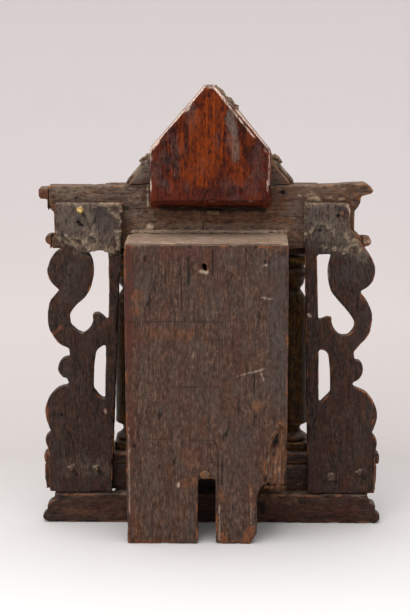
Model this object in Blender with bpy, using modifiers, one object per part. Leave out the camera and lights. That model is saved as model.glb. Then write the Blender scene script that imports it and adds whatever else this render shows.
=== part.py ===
# Devotional oratory: a small carved wooden house altar with an empty niche, seen mostly from its back.
# Metres, +Z up. The origin is on the floor under the middle of the object's box. The back looks along -Y.
import math

import bmesh
import bpy
from mathutils import Matrix, Vector

# Gap that touching pieces keep
GAP = 0.0003

# Depths, measured from the back plane of the frame: the box stands out behind it, the bay in front
BACK_DEPTH = 0.075
BAY_DEPTH = 0.0435
PLANK = 0.016

# Width of the base, which the planks and the scroll boards follow
BASE_CAP_HALF_WIDTH = 0.1725

# The bay that carries the columns stands out in front of the planks, which reach wider
BAY_HALF_WIDTH = 0.101

# Plinth: a plank with carved ends, and a moulded step in front of it under the bay
PLINTH_HEIGHT = 0.031
PLINTH_INSET = 0.0115
PLINTH_NECK = BASE_CAP_HALF_WIDTH - PLINTH_INSET
PLINTH_ROLL = 0.0125
PLINTH_THICKNESS = 0.0137
STEP_ROLL = 0.0075

# Base beam with its cap, and the pedestal of the bay with its raised fields
BASE_BEAM_HEIGHT = 0.0275
BASE_CAP_HEIGHT = 0.012
BASE_CAP_Z = PLINTH_HEIGHT + BASE_BEAM_HEIGHT
BASE_TOP_Z = BASE_CAP_Z + BASE_CAP_HEIGHT
BEAM_INSET_RIGHT = 0.0025
BEAM_LEFT = BASE_CAP_HALF_WIDTH - 0.0005
BEAM_RIGHT = BASE_CAP_HALF_WIDTH - BEAM_INSET_RIGHT
BASE_CAP_LIP = 0.0045
PEDESTAL_SETBACK = 0.003
FIELD_MARGIN = 0.005
FIELD_THICKNESS = 0.0027
FIELD_ROUNDING = 0.001

# Entablature plank, whose ends are carved and not alike, and the mouldings on its front
ENTABLATURE_TOP_Z = 0.347
ENTABLATURE_HEIGHT = 0.064
ENTABLATURE_Z = ENTABLATURE_TOP_Z - ENTABLATURE_HEIGHT
ENTABLATURE_INSET_LEFT = 0.016
ENTABLATURE_INSET_RIGHT = 0.0295
ENTABLATURE_LEFT = BASE_CAP_HALF_WIDTH - ENTABLATURE_INSET_LEFT
ENTABLATURE_RIGHT = BASE_CAP_HALF_WIDTH - ENTABLATURE_INSET_RIGHT
CORNICE_DROP = 0.0035
CORNICE_TOP_Z = ENTABLATURE_TOP_Z - CORNICE_DROP
CORNICE_OUT = 0.0075
CORNICE_HEIGHT = 0.0223
CORNICE_PLANK_LEFT = ENTABLATURE_LEFT + 0.0048
CORNICE_WING_RIGHT = ENTABLATURE_RIGHT + 0.004
CORNICE_END_REACH = 1.33
BEAD_OUT = 0.006
BEAD_HEIGHT = 0.014
BEAD_LOBE = 0.0098
BEAD_END_REACH = 1.05
BEAD_RIGHT_REACH = 1.5
BEAD_PLANK_LEFT = ENTABLATURE_LEFT + 0.003
BEAD_PLANK_RIGHT = ENTABLATURE_RIGHT + 0.008
NOSE_REACH = 0.0185
RIGHT_SAG = 0.002
RETURN_SETBACK = 0.002
SAW_ALLOWANCE = 0.001
FRIEZE_MARGIN = 0.0025
TABLET_THICKNESS = 0.0025

# Pediment
PEDIMENT_LEFT = 0.0860
PEDIMENT_RIGHT = 0.0838
PEDIMENT_ANGLE = math.radians(49.8)
PEDIMENT_HEIGHT = 0.094
TYMPANUM_SETBACK = 0.001
TYMPANUM_THICKNESS = 0.010
RAKE_THICKNESS = 0.0075
RAKE_LIP = 0.003
RAKE_DEPTH = 0.046
BOSS_RADIUS = 0.014
BOSS_HEIGHT = 0.006
BOSS_RISE = 0.38

# Thick block fixed behind the pediment, with heights above its lower edge, and its peg below it
BLOCK_OVERLAP = 0.020
BLOCK_BOTTOM_Z = ENTABLATURE_TOP_Z - BLOCK_OVERLAP
BLOCK_HEIGHT = 0.1195
BLOCK_LEFT = 0.0588
BLOCK_RIGHT = 0.0595
BLOCK_SHOULDER_LEFT = 0.059
BLOCK_SHOULDER_RIGHT = 0.0557
BLOCK_FLAT_LEFT = 0.0058
BLOCK_FLAT_RIGHT = 0.0043
BLOCK_BEND = (0.46, 0.625)
BLOCK_UPPER_BEND = (0.32, 0.755)
BLOCK_THICKNESS = 0.028
BLOCK_CHAMFER = 0.0035
BLOCK_FOOT_CHAMFER = 0.008
BLOCK_PEG_X = (-0.004, 0.0085)
BLOCK_PEG_DROP = 0.006
BLOCK_PEG_HEIGHT = 0.0042
BLOCK_PEG_LENGTH = 0.009

# Pierced scroll boards: the inner edge of each, and the grid of steps that their outlines are drawn on
SCROLL_THICKNESS = 0.012
SCROLL_DROP = 0.016
SCROLL_TOP_Z = ENTABLATURE_TOP_Z - SCROLL_DROP
SCROLL_WIDTH = 0.086
SCROLL_LEFT_INSET = 0.0865
SCROLL_RIGHT_INSET = 0.0805
SCROLL_LEFT_X = BASE_CAP_HALF_WIDTH - SCROLL_LEFT_INSET
SCROLL_RIGHT_X = BASE_CAP_HALF_WIDTH - SCROLL_RIGHT_INSET
DRAWN_STEPS_ACROSS = 86
DRAWN_STEPS_UP = 300

# Niche box, a little clear of the scroll boards
BOX_CLEAR_LEFT = 0.0037
BOX_CLEAR_RIGHT = 0.0162
BOX_RISE = 0.017
BOX_LEFT = SCROLL_LEFT_X - BOX_CLEAR_LEFT
BOX_RIGHT = SCROLL_RIGHT_X - BOX_CLEAR_RIGHT
BOX_TOP_Z = ENTABLATURE_Z + BOX_RISE
BOX_WALL = 0.009
BOX_SIDE_DROP = 0.0125
NICHE_FLOOR_RISE = 0.006
BOX_SIDE_FOOT_Z = BASE_TOP_Z - BOX_SIDE_DROP
NICHE_FLOOR_Z = BASE_TOP_Z + NICHE_FLOOR_RISE
BACK_BOARD = 0.011

# Back board's feet and its broken corner
SLOT_LEFT = 0.0115
SLOT_RIGHT = 0.0052
SLOT_HEIGHT = 0.067
FOOT_RIGHT = BOX_RIGHT * 0.612
FOOT_CHAMFER = 0.011
BREAK_FOOT_Z = 0.058
BREAK_HEIGHT = 0.066
BREAK_NOTCH = 0.024
BREAK_STEP = 0.010
BREAK_DEPTH = 0.0055

# Front board with the arched opening
ARCH_BOARD = 0.008
ARCH_BOARD_HALF_WIDTH = BOX_RIGHT
ARCH_RADIUS = 0.052
ARCH_SPRING_RISE = 0.1195
SILL_RISE = 0.0095
ARCH_SPRING_Z = BASE_TOP_Z + ARCH_SPRING_RISE
SILL_Z = BASE_TOP_Z + SILL_RISE
ARCHIVOLT_SETBACK = 0.001
ARCHIVOLT_WIDTH = 0.0055
ARCHIVOLT_THICKNESS = 0.0035

# Columns
COLUMN_X = 0.083
COLUMN_Y = 0.026
COLUMN_RADIUS = 0.0163
COLUMN_FOOT_RADIUS = 0.017
COLUMN_FOOT_BLOCK = 0.0085
ABACUS = 0.007

# Pegs and nails
PEG_RADIUS = 0.002
PEG_HEIGHT = 0.004
BIG_PEG_RADIUS = 0.0047
NAIL_RADIUS = 0.0033
SMALL_NAIL_RADIUS = 0.0025
HEAD_HEIGHT = 0.002
SQUARE_NAIL = 0.007
BENT_NAIL_RADIUS = 0.0007

# Turned and curved fineness
TURN_STEPS = 24
PEG_STEPS = 12
CURVE_STEPS = 4

# Planes that several pieces share
FRONT_DEPTH = BAY_DEPTH + CORNICE_OUT
FRAME_Y = (BACK_DEPTH + HEAD_HEIGHT - FRONT_DEPTH) / 2
BOARD_BACK_Y = FRAME_Y - BACK_DEPTH
BOARD_FRONT_Y = BOARD_BACK_Y + BACK_BOARD
SCROLL_BACK_Y = FRAME_Y - SCROLL_THICKNESS
PLANK_FRONT_Y = FRAME_Y + PLANK
BAY_FRONT_Y = FRAME_Y + BAY_DEPTH
ARCH_FRONT_Y = FRAME_Y + GAP + ARCH_BOARD


def clear_scene():
    """Start from an empty file."""
    for item in list(bpy.data.objects):
        bpy.data.objects.remove(item, do_unlink=True)


def make_collection(name):
    """A collection of its own under the scene."""
    collection = bpy.data.collections.new(name)
    bpy.context.scene.collection.children.link(collection)
    return collection


def linear(channel):
    """One sRGB channel as linear light."""
    return channel / 12.92 if channel <= 0.04045 else ((channel + 0.055) / 1.055) ** 2.4


def make_material(name, hex_colour, roughness, metallic=0.0):
    """A plain material with the piece's colour."""
    material = bpy.data.materials.new(name)
    material.use_nodes = True
    shader = material.node_tree.nodes["Principled BSDF"]
    channels = [linear(int(hex_colour[i:i + 2], 16) / 255) for i in (1, 3, 5)]
    shader.inputs["Base Color"].default_value = (*channels, 1.0)
    shader.inputs["Roughness"].default_value = roughness
    shader.inputs["Metallic"].default_value = metallic
    return material


def add_piece(name, mesh, material, matrix=Matrix(), smooth_degrees=None):
    """Put a finished mesh in the oratory's collection under its own name."""
    mesh.name = name
    mesh.materials.clear()
    mesh.materials.append(material)
    piece = bpy.data.objects.new(name, mesh)
    piece.matrix_world = matrix
    ORATORY.objects.link(piece)
    if smooth_degrees is not None:
        mesh.shade_smooth()
        mesh.set_sharp_from_angle(angle=math.radians(smooth_degrees))
    return piece


def mesh_of(bm, name):
    """Turn a bmesh into mesh data, with its faces outward."""
    bmesh.ops.recalc_face_normals(bm, faces=bm.faces)
    mesh = bpy.data.meshes.new(name)
    bm.to_mesh(mesh)
    bm.free()
    return mesh


def block(name, x_range, y_range, z_range, material):
    """A plain board or block between six planes."""
    bm = bmesh.new()
    bmesh.ops.create_cube(bm, size=1.0)
    size = Vector([high - low for low, high in (x_range, y_range, z_range)])
    centre = Vector([(high + low) / 2 for low, high in (x_range, y_range, z_range)])
    bmesh.ops.scale(bm, vec=size, verts=bm.verts)
    bmesh.ops.translate(bm, vec=centre, verts=bm.verts)
    return add_piece(name, mesh_of(bm, name), material)


def outline_mesh(name, loops, thickness):
    """A flat outline with its openings as a mesh: loops of (x, y, smooth) in a plane, thick along z."""
    data = bpy.data.curves.new(name, "CURVE")
    data.dimensions = "2D"
    data.fill_mode = "BOTH"
    data.extrude = thickness / 2
    data.resolution_u = CURVE_STEPS
    for loop in loops:
        spline = data.splines.new("BEZIER")
        spline.bezier_points.add(len(loop) - 1)
        for knot, (x, y, smooth) in zip(spline.bezier_points, loop):
            knot.co = (x, y, 0.0)
            knot.handle_left_type = "AUTO" if smooth else "VECTOR"
            knot.handle_right_type = "AUTO" if smooth else "VECTOR"
        spline.use_cyclic_u = True
    guide = bpy.data.objects.new(name + "_outline", data)
    ORATORY.objects.link(guide)
    graph = bpy.context.evaluated_depsgraph_get()
    mesh = bpy.data.meshes.new_from_object(guide.evaluated_get(graph))
    bpy.data.objects.remove(guide, do_unlink=True)
    bm = bmesh.new()
    bm.from_mesh(mesh)
    bmesh.ops.remove_doubles(bm, verts=bm.verts, dist=0.00001)
    bmesh.ops.dissolve_limit(bm, angle_limit=math.radians(0.5), verts=bm.verts, edges=bm.edges)
    bmesh.ops.recalc_face_normals(bm, faces=bm.faces)
    bm.to_mesh(mesh)
    bm.free()
    return mesh


def corners(points):
    """Mark every point of a straight-sided outline as a corner."""
    return [(x, y, False) for x, y in points]


def upright(y_middle):
    """Stand an outline up: its x stays X, its y becomes Z, and its middle plane is at a depth."""
    return Matrix.Translation((0.0, y_middle, 0.0)) @ Matrix.Rotation(math.radians(90), 4, "X")


def upright_board(name, loops, y_back, y_front, material, smooth_degrees=None):
    """A board cut to an outline in the XZ plane, between two depths."""
    mesh = outline_mesh(name, loops, y_front - y_back)
    return add_piece(name, mesh, material, upright((y_back + y_front) / 2), smooth_degrees)


def arc(centre_x, centre_y, radius, start_degrees, end_degrees, steps):
    """Points along an arc."""
    points = []
    for step in range(steps + 1):
        angle = math.radians(start_degrees + (end_degrees - start_degrees) * step / steps)
        points.append((centre_x + radius * math.cos(angle), centre_y + radius * math.sin(angle)))
    return points


def cut_away(piece, point, normal):
    """Saw a piece off at a plane, keeping what lies behind the normal, in world places."""
    inverse = piece.matrix_world.inverted()
    bm = bmesh.new()
    bm.from_mesh(piece.data)
    local_normal = (inverse.to_3x3() @ Vector(normal)).normalized()
    bmesh.ops.bisect_plane(
        bm, geom=bm.verts[:] + bm.edges[:] + bm.faces[:], dist=0.000001,
        plane_co=inverse @ Vector(point), plane_no=local_normal, clear_outer=True)
    rim = [edge for edge in bm.edges if edge.is_boundary]
    bmesh.ops.contextual_create(bm, geom=rim)
    bmesh.ops.recalc_face_normals(bm, faces=bm.faces)
    bm.to_mesh(piece.data)
    bm.free()


def boolean_cut(piece, cutter):
    """Take a cutter's volume out of a piece."""
    for collection in list(cutter.users_collection):
        collection.objects.unlink(cutter)
    CUTTERS.objects.link(cutter)
    cutter.hide_render = True
    cutter.display_type = "WIRE"
    modifier = piece.modifiers.new("cut_" + cutter.name, "BOOLEAN")
    modifier.operation = "DIFFERENCE"
    modifier.object = cutter
    modifier.solver = "EXACT"


def moulded_slab(name, profile, half_width, y_back, y_front, material):
    """A slab whose front and ends carry a moulding. The profile holds (how far out, height) upwards."""
    bm = bmesh.new()
    bmesh.ops.create_grid(bm, x_segments=1, y_segments=1, size=1.0)
    top = bm.faces[:]

    def shape(vertices, out, height):
        for vertex in vertices:
            side = 1 if vertex.co.x > 0 else -1
            vertex.co.x = side * (half_width + out)
            vertex.co.z = height
            if vertex.co.y > (y_back + y_front) / 2:
                vertex.co.y = y_front + out

    for vertex in bm.verts:
        vertex.co.y = y_front if vertex.co.y > 0 else y_back
    shape(bm.verts[:], *profile[0])
    bottom = bm.faces[:][0]
    for out, height in profile[1:]:
        grown = bmesh.ops.extrude_face_region(bm, geom=top)["geom"]
        shape([item for item in grown if isinstance(item, bmesh.types.BMVert)], out, height)
        faces = [item for item in grown if isinstance(item, bmesh.types.BMFace)]
        for face in top:
            if face is not bottom:
                bm.faces.remove(face)
        top = faces
    return add_piece(name, mesh_of(bm, name), material, smooth_degrees=40)


def turned(name, profile, steps, matrix, material):
    """A turned piece: (radius, height) from top to bottom, spun round its own z."""
    bm = bmesh.new()
    vertices = [bm.verts.new((0.0, 0.0, profile[0][1]))]
    vertices += [bm.verts.new((radius, 0.0, height)) for radius, height in profile]
    vertices.append(bm.verts.new((0.0, 0.0, profile[-1][1])))
    for above, below in zip(vertices, vertices[1:]):
        bm.edges.new((above, below))
    mesh = bpy.data.meshes.new(name)
    bm.to_mesh(mesh)
    bm.free()
    piece = add_piece(name, mesh, material, matrix)
    screw = piece.modifiers.new("turn", "SCREW")
    screw.axis = "Z"
    screw.steps = steps
    screw.render_steps = steps
    screw.use_merge_vertices = True
    screw.merge_threshold = 0.00001
    screw.use_smooth_shade = True
    return piece


def make_plinth():
    """The plank with its carved ends, and the moulded step in front of it."""
    height = PLINTH_HEIGHT
    neck = PLINTH_NECK
    roll = neck + PLINTH_ROLL
    end = [(neck, height), (neck, height * 0.80)]
    end += [(neck + x, y) for x, y in arc(0.0, height * 0.53, 0.0075, 80, -15, 5)]
    end += [(roll - 0.0045, height * 0.38)]
    end += arc(roll - 0.0050, height * 0.19, 0.0050, 70, -70, 5)
    end += [(roll - 0.0060, 0.0)]
    outline = end + [(-x, y) for x, y in reversed(end)]
    back = FRAME_Y - PLINTH_THICKNESS - GAP
    upright_board("plinth_plank", [corners(outline)], back, FRAME_Y - GAP, WOOD_MID, 40)
    bulge = STEP_ROLL
    profile = [(bulge - 0.002, 0.0)]
    profile += [(bulge - 0.003 + out, up) for out, up in arc(0.0, 0.0050, 0.003, -60, 60, 3)]
    profile += [(bulge - 0.0035, height * 0.37), (bulge - 0.0035, height * 0.45)]
    profile += arc(0.001, height * 0.47, bulge - 0.005, 0, 75, 3)
    profile += [(0.0, height * 0.76), (0.0, height)]
    moulded_slab("plinth_step", profile, BAY_HALF_WIDTH, FRAME_Y + GAP, BAY_FRONT_Y, WOOD_MID)


def make_base():
    """The base beam and its cap, the bay's pedestal and cap in front, and the raised fields on it."""
    beam_z = (PLINTH_HEIGHT + GAP, BASE_CAP_Z)
    plank_y = (FRAME_Y, PLANK_FRONT_Y)
    block("base_beam", (-BEAM_LEFT, BEAM_RIGHT), plank_y, beam_z, WOOD_DARK)
    bottom = BASE_CAP_Z + GAP
    block("base_cap", (-BASE_CAP_HALF_WIDTH, BASE_CAP_HALF_WIDTH), plank_y, (bottom, BASE_TOP_Z), WOOD_MID)
    bay_back = PLANK_FRONT_Y + GAP
    pedestal_front = BAY_FRONT_Y - PEDESTAL_SETBACK
    block("pedestal", (-BAY_HALF_WIDTH, BAY_HALF_WIDTH), (bay_back, pedestal_front), beam_z, WOOD_MID)
    profile = [
        (0.0, bottom),
        (BASE_CAP_LIP * 0.35, bottom + 0.0015),
        (BASE_CAP_LIP * 0.8, bottom + 0.0035),
        (BASE_CAP_LIP, bottom + 0.0060),
        (BASE_CAP_LIP, BASE_TOP_Z - 0.001),
        (BASE_CAP_LIP - 0.001, BASE_TOP_Z),
    ]
    moulded_slab("pedestal_cap", profile, BAY_HALF_WIDTH, bay_back, BAY_FRONT_Y, WOOD_MID)
    field_y = (pedestal_front + GAP, pedestal_front + GAP + FIELD_THICKNESS)
    field_z = (beam_z[0] + FIELD_MARGIN, beam_z[1] - FIELD_MARGIN)
    field_edge = COLUMN_X - COLUMN_FOOT_RADIUS
    fields = {
        "field_left": (-BAY_HALF_WIDTH + FIELD_MARGIN, -field_edge),
        "field_middle": (-field_edge + FIELD_MARGIN, field_edge - FIELD_MARGIN),
        "field_right": (field_edge, BAY_HALF_WIDTH - FIELD_MARGIN),
    }
    for name, x_range in fields.items():
        field = block(name, x_range, field_y, field_z, GILT)
        rounding = field.modifiers.new("edges", "BEVEL")
        rounding.width = FIELD_ROUNDING
        rounding.segments = 1


def strip(name, profile, top_z, x_range, wall_y, material, left_mitre=None, right_mitre=None):
    """A length of moulding along a wall: its profile holds (how far out, height below the top).

    A mitre is (corner x, reach): the end is sawn for a return that stands out reach times as far.
    """
    length = x_range[1] - x_range[0]
    turn = Matrix(((0, 0, 1, 0), (1, 0, 0, 0), (0, 1, 0, 0), (0, 0, 0, 1)))
    place = Matrix.Translation(((x_range[0] + x_range[1]) / 2, wall_y + GAP, top_z))
    piece = add_piece(name, outline_mesh(name, [corners(profile)], length), material, place @ turn)
    if left_mitre:
        corner, reach = left_mitre
        cut_away(piece, (corner + GAP / 2, wall_y, 0), (-1, -reach, 0))
    if right_mitre:
        corner, reach = right_mitre
        cut_away(piece, (corner - GAP / 2, wall_y, 0), (1, -reach, 0))
    piece.data.shade_smooth()
    piece.data.set_sharp_from_angle(angle=math.radians(40))


def end_return(name, profile, top_z, corner_x, wall_y, y_back, reach, material):
    """The same moulding carried round an end at corner_x, back to a depth."""
    sign = 1 if corner_x > 0 else -1
    depth = wall_y - y_back + 2 * max(out for out, height in profile)
    widened = corners([(out * reach + GAP, height) for out, height in profile])
    turn = Matrix(((sign, 0, 0, 0), (0, 0, -sign, 0), (0, 1, 0, 0), (0, 0, 0, 1)))
    place = Matrix.Translation((corner_x, y_back + depth / 2, top_z))
    piece = add_piece(name, outline_mesh(name, [widened], depth), material, place @ turn)
    cut_away(piece, (corner_x, wall_y, 0), (-sign, reach, 0))
    piece.data.shade_smooth()
    piece.data.set_sharp_from_angle(angle=math.radians(40))


def moulding_round_bay(name, profile, top_z, end_reach, plank_left, right_end, material):
    """A moulding round the bay and along both wings, with a return round the plank's left end."""
    widest = max(out for out, height in profile)
    bay = BAY_HALF_WIDTH
    reach_x = bay + widest + SAW_ALLOWANCE
    strip(name + "_bay", profile, top_z, (-reach_x, reach_x), BAY_FRONT_Y, material, (-bay, 1), (bay, 1))
    end_return(name + "_bay_left", profile, top_z, -bay, BAY_FRONT_Y, PLANK_FRONT_Y + GAP, 1, material)
    end_return(name + "_bay_right", profile, top_z, bay, BAY_FRONT_Y, PLANK_FRONT_Y + GAP, 1, material)
    wing = bay + widest + 2 * GAP
    left_end = plank_left + widest * end_reach + SAW_ALLOWANCE
    strip(name + "_wing_left", profile, top_z, (-left_end, -wing), PLANK_FRONT_Y, material,
          left_mitre=(-plank_left, end_reach))
    return_back = FRAME_Y + RETURN_SETBACK
    end_return(name + "_end_left", profile, top_z, -plank_left, PLANK_FRONT_Y, return_back, end_reach,
               material)
    corner, right_reach = right_end
    tip = corner + (widest * right_reach + SAW_ALLOWANCE if right_reach else 0.0)
    mitre = (corner, right_reach) if right_reach else None
    sagged_z = top_z - RIGHT_SAG
    strip(name + "_wing_right", profile, sagged_z, (wing, tip), PLANK_FRONT_Y, material, right_mitre=mitre)
    if right_reach:
        end_return(name + "_end_right", profile, sagged_z, corner, PLANK_FRONT_Y, return_back, right_reach,
                   material)


def make_entablature():
    """The wide plank, the beam over the columns and two runs of moulding round them."""
    low = ENTABLATURE_Z
    high = ENTABLATURE_TOP_Z
    left = -ENTABLATURE_LEFT
    right = ENTABLATURE_RIGHT
    nose = right + NOSE_REACH
    outline = [
        (BAY_HALF_WIDTH, high), (-CORNICE_PLANK_LEFT, high), (-CORNICE_PLANK_LEFT, high - 0.0248),
        (0.0014 - CORNICE_PLANK_LEFT, high - 0.0262), (left, high - 0.0262), (left, low + BEAD_HEIGHT),
        (left - 0.0030, low + 0.0125), (left - 0.0030, low + 0.0014), (left - 0.0018, low),
        (BEAD_PLANK_RIGHT, low), (BEAD_PLANK_RIGHT, low + 0.0100), (right + 0.0040, low + 0.0145),
        (right, low + 0.0180), (right, high - 0.0255), (right + 0.0020, high - 0.0247),
        (right + 0.0050, high - 0.0220), (right + 0.0058, high - 0.0150), (right + 0.0064, high - 0.0115),
        (nose - 0.0010, high - 0.0085), (nose, high - 0.0050), (nose - 0.0040, high - 0.0010),
        (nose - 0.0085, high + 0.0020), (nose - 0.0110, high + 0.0026), (right - 0.0100, high + 0.0020),
    ]
    upright_board("entablature_plank", [corners(outline)], FRAME_Y, PLANK_FRONT_Y, WOOD_LIGHT, 40)
    block("entablature_beam", (-BAY_HALF_WIDTH, BAY_HALF_WIDTH), (PLANK_FRONT_Y + GAP, BAY_FRONT_Y),
          (low, CORNICE_TOP_Z), WOOD_MID)
    cornice = [
        (0.0, 0.0), (CORNICE_OUT * 0.90, 0.0), (CORNICE_OUT, -0.0012), (CORNICE_OUT * 0.98, -0.0080),
        (CORNICE_OUT * 0.80, -0.0105), (CORNICE_OUT * 0.14, -0.0108), (CORNICE_OUT * 0.14, -0.0190),
        (CORNICE_OUT * 0.05, -0.0215), (0.0, -CORNICE_HEIGHT),
    ]
    inner = BEAD_OUT * 0.3
    bead = [(0.0, 0.0)]
    for x, y in arc(0.0, 0.0, 1.0, 80, -80, 6):
        bead.append((inner + (BEAD_OUT - inner) * x, (y - 1.0) * BEAD_LOBE / 2))
    bead += [(BEAD_OUT * 0.25, -BEAD_LOBE), (BEAD_OUT * 0.25, -BEAD_HEIGHT), (0.0, -BEAD_HEIGHT)]
    moulding_round_bay("cornice", cornice, CORNICE_TOP_Z, CORNICE_END_REACH, CORNICE_PLANK_LEFT,
                       (CORNICE_WING_RIGHT, 0), WOOD_MID)
    moulding_round_bay("bead", bead, low + BEAD_HEIGHT, BEAD_END_REACH, BEAD_PLANK_LEFT,
                       (BEAD_PLANK_RIGHT, BEAD_RIGHT_REACH), WOOD_MID)


def make_pediment():
    """The steep triangular board, its two raking mouldings and the boss on its front."""
    slope = math.tan(PEDIMENT_ANGLE)
    foot_z = ENTABLATURE_TOP_Z + GAP
    inner_left = PEDIMENT_LEFT - RAKE_LIP
    inner_right = PEDIMENT_RIGHT - RAKE_LIP
    cut_z = ENTABLATURE_TOP_Z + PEDIMENT_HEIGHT
    cut_run = (cut_z - foot_z) / slope
    board_back = FRAME_Y + TYMPANUM_SETBACK
    board_y = (board_back, board_back + TYMPANUM_THICKNESS)
    triangle = corners([
        (-inner_left, foot_z), (inner_right, foot_z), (inner_right - cut_run, cut_z),
        (-inner_left + cut_run, cut_z),
    ])
    upright_board("pediment_board", [triangle], *board_y, WOOD_MID)
    block("pediment_sill", (-PEDIMENT_LEFT, PEDIMENT_RIGHT), (PLANK_FRONT_Y + GAP, FRAME_Y + RAKE_DEPTH),
          (CORNICE_TOP_Z + GAP, ENTABLATURE_TOP_Z), WOOD_MID)

    # The rake's profile lies across its slope, in front of the board: x inward from the outer line, y forward
    lip = RAKE_THICKNESS
    depth = RAKE_DEPTH - (board_y[1] + GAP - FRAME_Y)
    profile = corners([
        (0.0, 0.0), (lip, 0.0), (lip, depth * 0.66), (lip * 0.75, depth * 0.78), (lip * 0.62, depth * 0.92),
        (lip * 0.35, depth), (0.0, depth),
    ])
    spare = 3 * RAKE_THICKNESS
    length = PEDIMENT_LEFT / math.cos(PEDIMENT_ANGLE) + 2 * spare
    for name, sign, foot_x in (("rake_left", -1, -PEDIMENT_LEFT), ("rake_right", 1, PEDIMENT_RIGHT)):
        along = Vector((-sign * math.cos(PEDIMENT_ANGLE), 0.0, math.sin(PEDIMENT_ANGLE)))
        inward = Vector((-sign * math.sin(PEDIMENT_ANGLE), 0.0, -math.cos(PEDIMENT_ANGLE)))
        forward = Vector((0.0, 1.0, 0.0))
        axes = Matrix((inward, forward, inward.cross(forward))).transposed().to_4x4()
        start = Vector((foot_x, board_y[1] + GAP, foot_z)) + along * (length / 2 - spare)
        rake = add_piece(name, outline_mesh(name, [profile], length), WOOD_MID,
                         Matrix.Translation(start) @ axes)
        cut_away(rake, (0, 0, foot_z), (0, 0, -1))
        cut_away(rake, (sign * GAP / 2, 0, 0), (-sign, 0, 0))
        cut_away(rake, (0, 0, cut_z), (0, 0, 1))

    profile = [(BOSS_RADIUS * 0.35, BOSS_HEIGHT), (BOSS_RADIUS * 0.5, BOSS_HEIGHT * 0.55),
               (BOSS_RADIUS * 0.72, BOSS_HEIGHT * 0.75), (BOSS_RADIUS * 0.9, BOSS_HEIGHT * 0.6),
               (BOSS_RADIUS, 0.0)]
    facing = Matrix.Rotation(math.radians(-90), 4, "X")
    boss_z = foot_z + PEDIMENT_HEIGHT * BOSS_RISE
    place = Matrix.Translation((0.0, board_y[1] + GAP, boss_z))
    turned("pediment_boss", profile, TURN_STEPS, place @ facing, GILT)


def make_block():
    """The five-sided block with its chamfered edges, fixed on the pediment's back, and a peg below it."""
    bottom = BLOCK_BOTTOM_Z
    top = bottom + BLOCK_HEIGHT
    left_shoulder = bottom + BLOCK_SHOULDER_LEFT
    right_shoulder = bottom + BLOCK_SHOULDER_RIGHT
    right_bends = []
    for out, rise in (BLOCK_BEND, BLOCK_UPPER_BEND):
        right_bends.append((BLOCK_RIGHT * out, right_shoulder + (top - right_shoulder) * rise))
    outline = [(-BLOCK_LEFT, bottom), (BLOCK_RIGHT, bottom), (BLOCK_RIGHT, right_shoulder)]
    outline += right_bends
    outline += [(BLOCK_FLAT_RIGHT, top), (-BLOCK_FLAT_LEFT, top), (-BLOCK_LEFT, left_shoulder)]
    back = FRAME_Y - GAP - BLOCK_THICKNESS
    piece = upright_board("pediment_block", [corners(outline)], back, FRAME_Y - GAP, WOOD_RED)

    # Chamfers: the foot, the right side, and both slopes
    cut_away(piece, (0, back, bottom + BLOCK_FOOT_CHAMFER), (0, -1, -1))
    cut_away(piece, (BLOCK_RIGHT - BLOCK_CHAMFER, back, 0), (1, -1, 0))
    left_normal = Vector((left_shoulder - top, 0.0, BLOCK_LEFT - BLOCK_FLAT_LEFT)).normalized()
    edge = Vector((-BLOCK_LEFT, back, left_shoulder)) - left_normal * BLOCK_CHAMFER * 0.5
    cut_away(piece, edge, left_normal + Vector((0, -1, 0)))
    bend_x, bend_z = right_bends[0]
    right_normal = Vector((bend_z - right_shoulder, 0.0, BLOCK_RIGHT - bend_x)).normalized()
    edge = Vector((BLOCK_RIGHT, back, right_shoulder)) - right_normal * BLOCK_CHAMFER
    cut_away(piece, edge, right_normal + Vector((0, -1, 0)))
    peg_top = bottom - BLOCK_PEG_DROP + BLOCK_PEG_HEIGHT / 2
    block("block_peg", BLOCK_PEG_X, (FRAME_Y - BLOCK_PEG_LENGTH, FRAME_Y - GAP),
          (peg_top - BLOCK_PEG_HEIGHT, peg_top), WOOD_LIGHT)


def make_back_board():
    """The plank behind the niche, with its two feet and the split lower corner."""
    right = BOX_RIGHT
    ragged = (
        (0.998, 0.020), (0.955, 0.0), (0.92, 0.003), (0.88, -0.003), (0.84, 0.004), (0.80, -0.001),
        (0.76, 0.005), (0.72, 0.001), (0.68, 0.003), (0.64, -0.003),
    )
    outline = [(-BOX_LEFT, 0.0), (-BOX_LEFT, BOX_TOP_Z), (right, BOX_TOP_Z)]
    outline.append((right, BREAK_FOOT_Z + BREAK_NOTCH))
    outline += [(right * share, BREAK_FOOT_Z + up) for share, up in ragged]
    outline += [
        (FOOT_RIGHT, BREAK_FOOT_Z - BREAK_STEP),
        (FOOT_RIGHT, FOOT_CHAMFER),
        (FOOT_RIGHT - FOOT_CHAMFER * 0.55, 0.0),
        (SLOT_RIGHT, 0.0),
        (SLOT_RIGHT, SLOT_HEIGHT),
        (-SLOT_LEFT, SLOT_HEIGHT),
        (-SLOT_LEFT, 0.0),
    ]
    board = upright_board("back_board", [corners(outline)], BOARD_BACK_Y, BOARD_FRONT_Y, WOOD_MID)
    break_top = BREAK_FOOT_Z + BREAK_HEIGHT
    break_low = BREAK_FOOT_Z - BREAK_STEP
    split = corners([
        (right * 0.875, break_top), (right * 0.81, break_top - 0.012), (right * 0.79, break_top - 0.021),
        (right * 0.745, break_top - 0.032), (right * 0.715, BREAK_FOOT_Z + 0.014), (right * 0.69, break_low),
        (right + BREAK_STEP, break_low), (right + BREAK_STEP, break_top - 0.014),
    ])
    cutter = upright_board("split_corner", [split], BOARD_BACK_Y - BREAK_DEPTH, BOARD_BACK_Y + BREAK_DEPTH,
                           WOOD_MID)
    boolean_cut(board, cutter)


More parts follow.
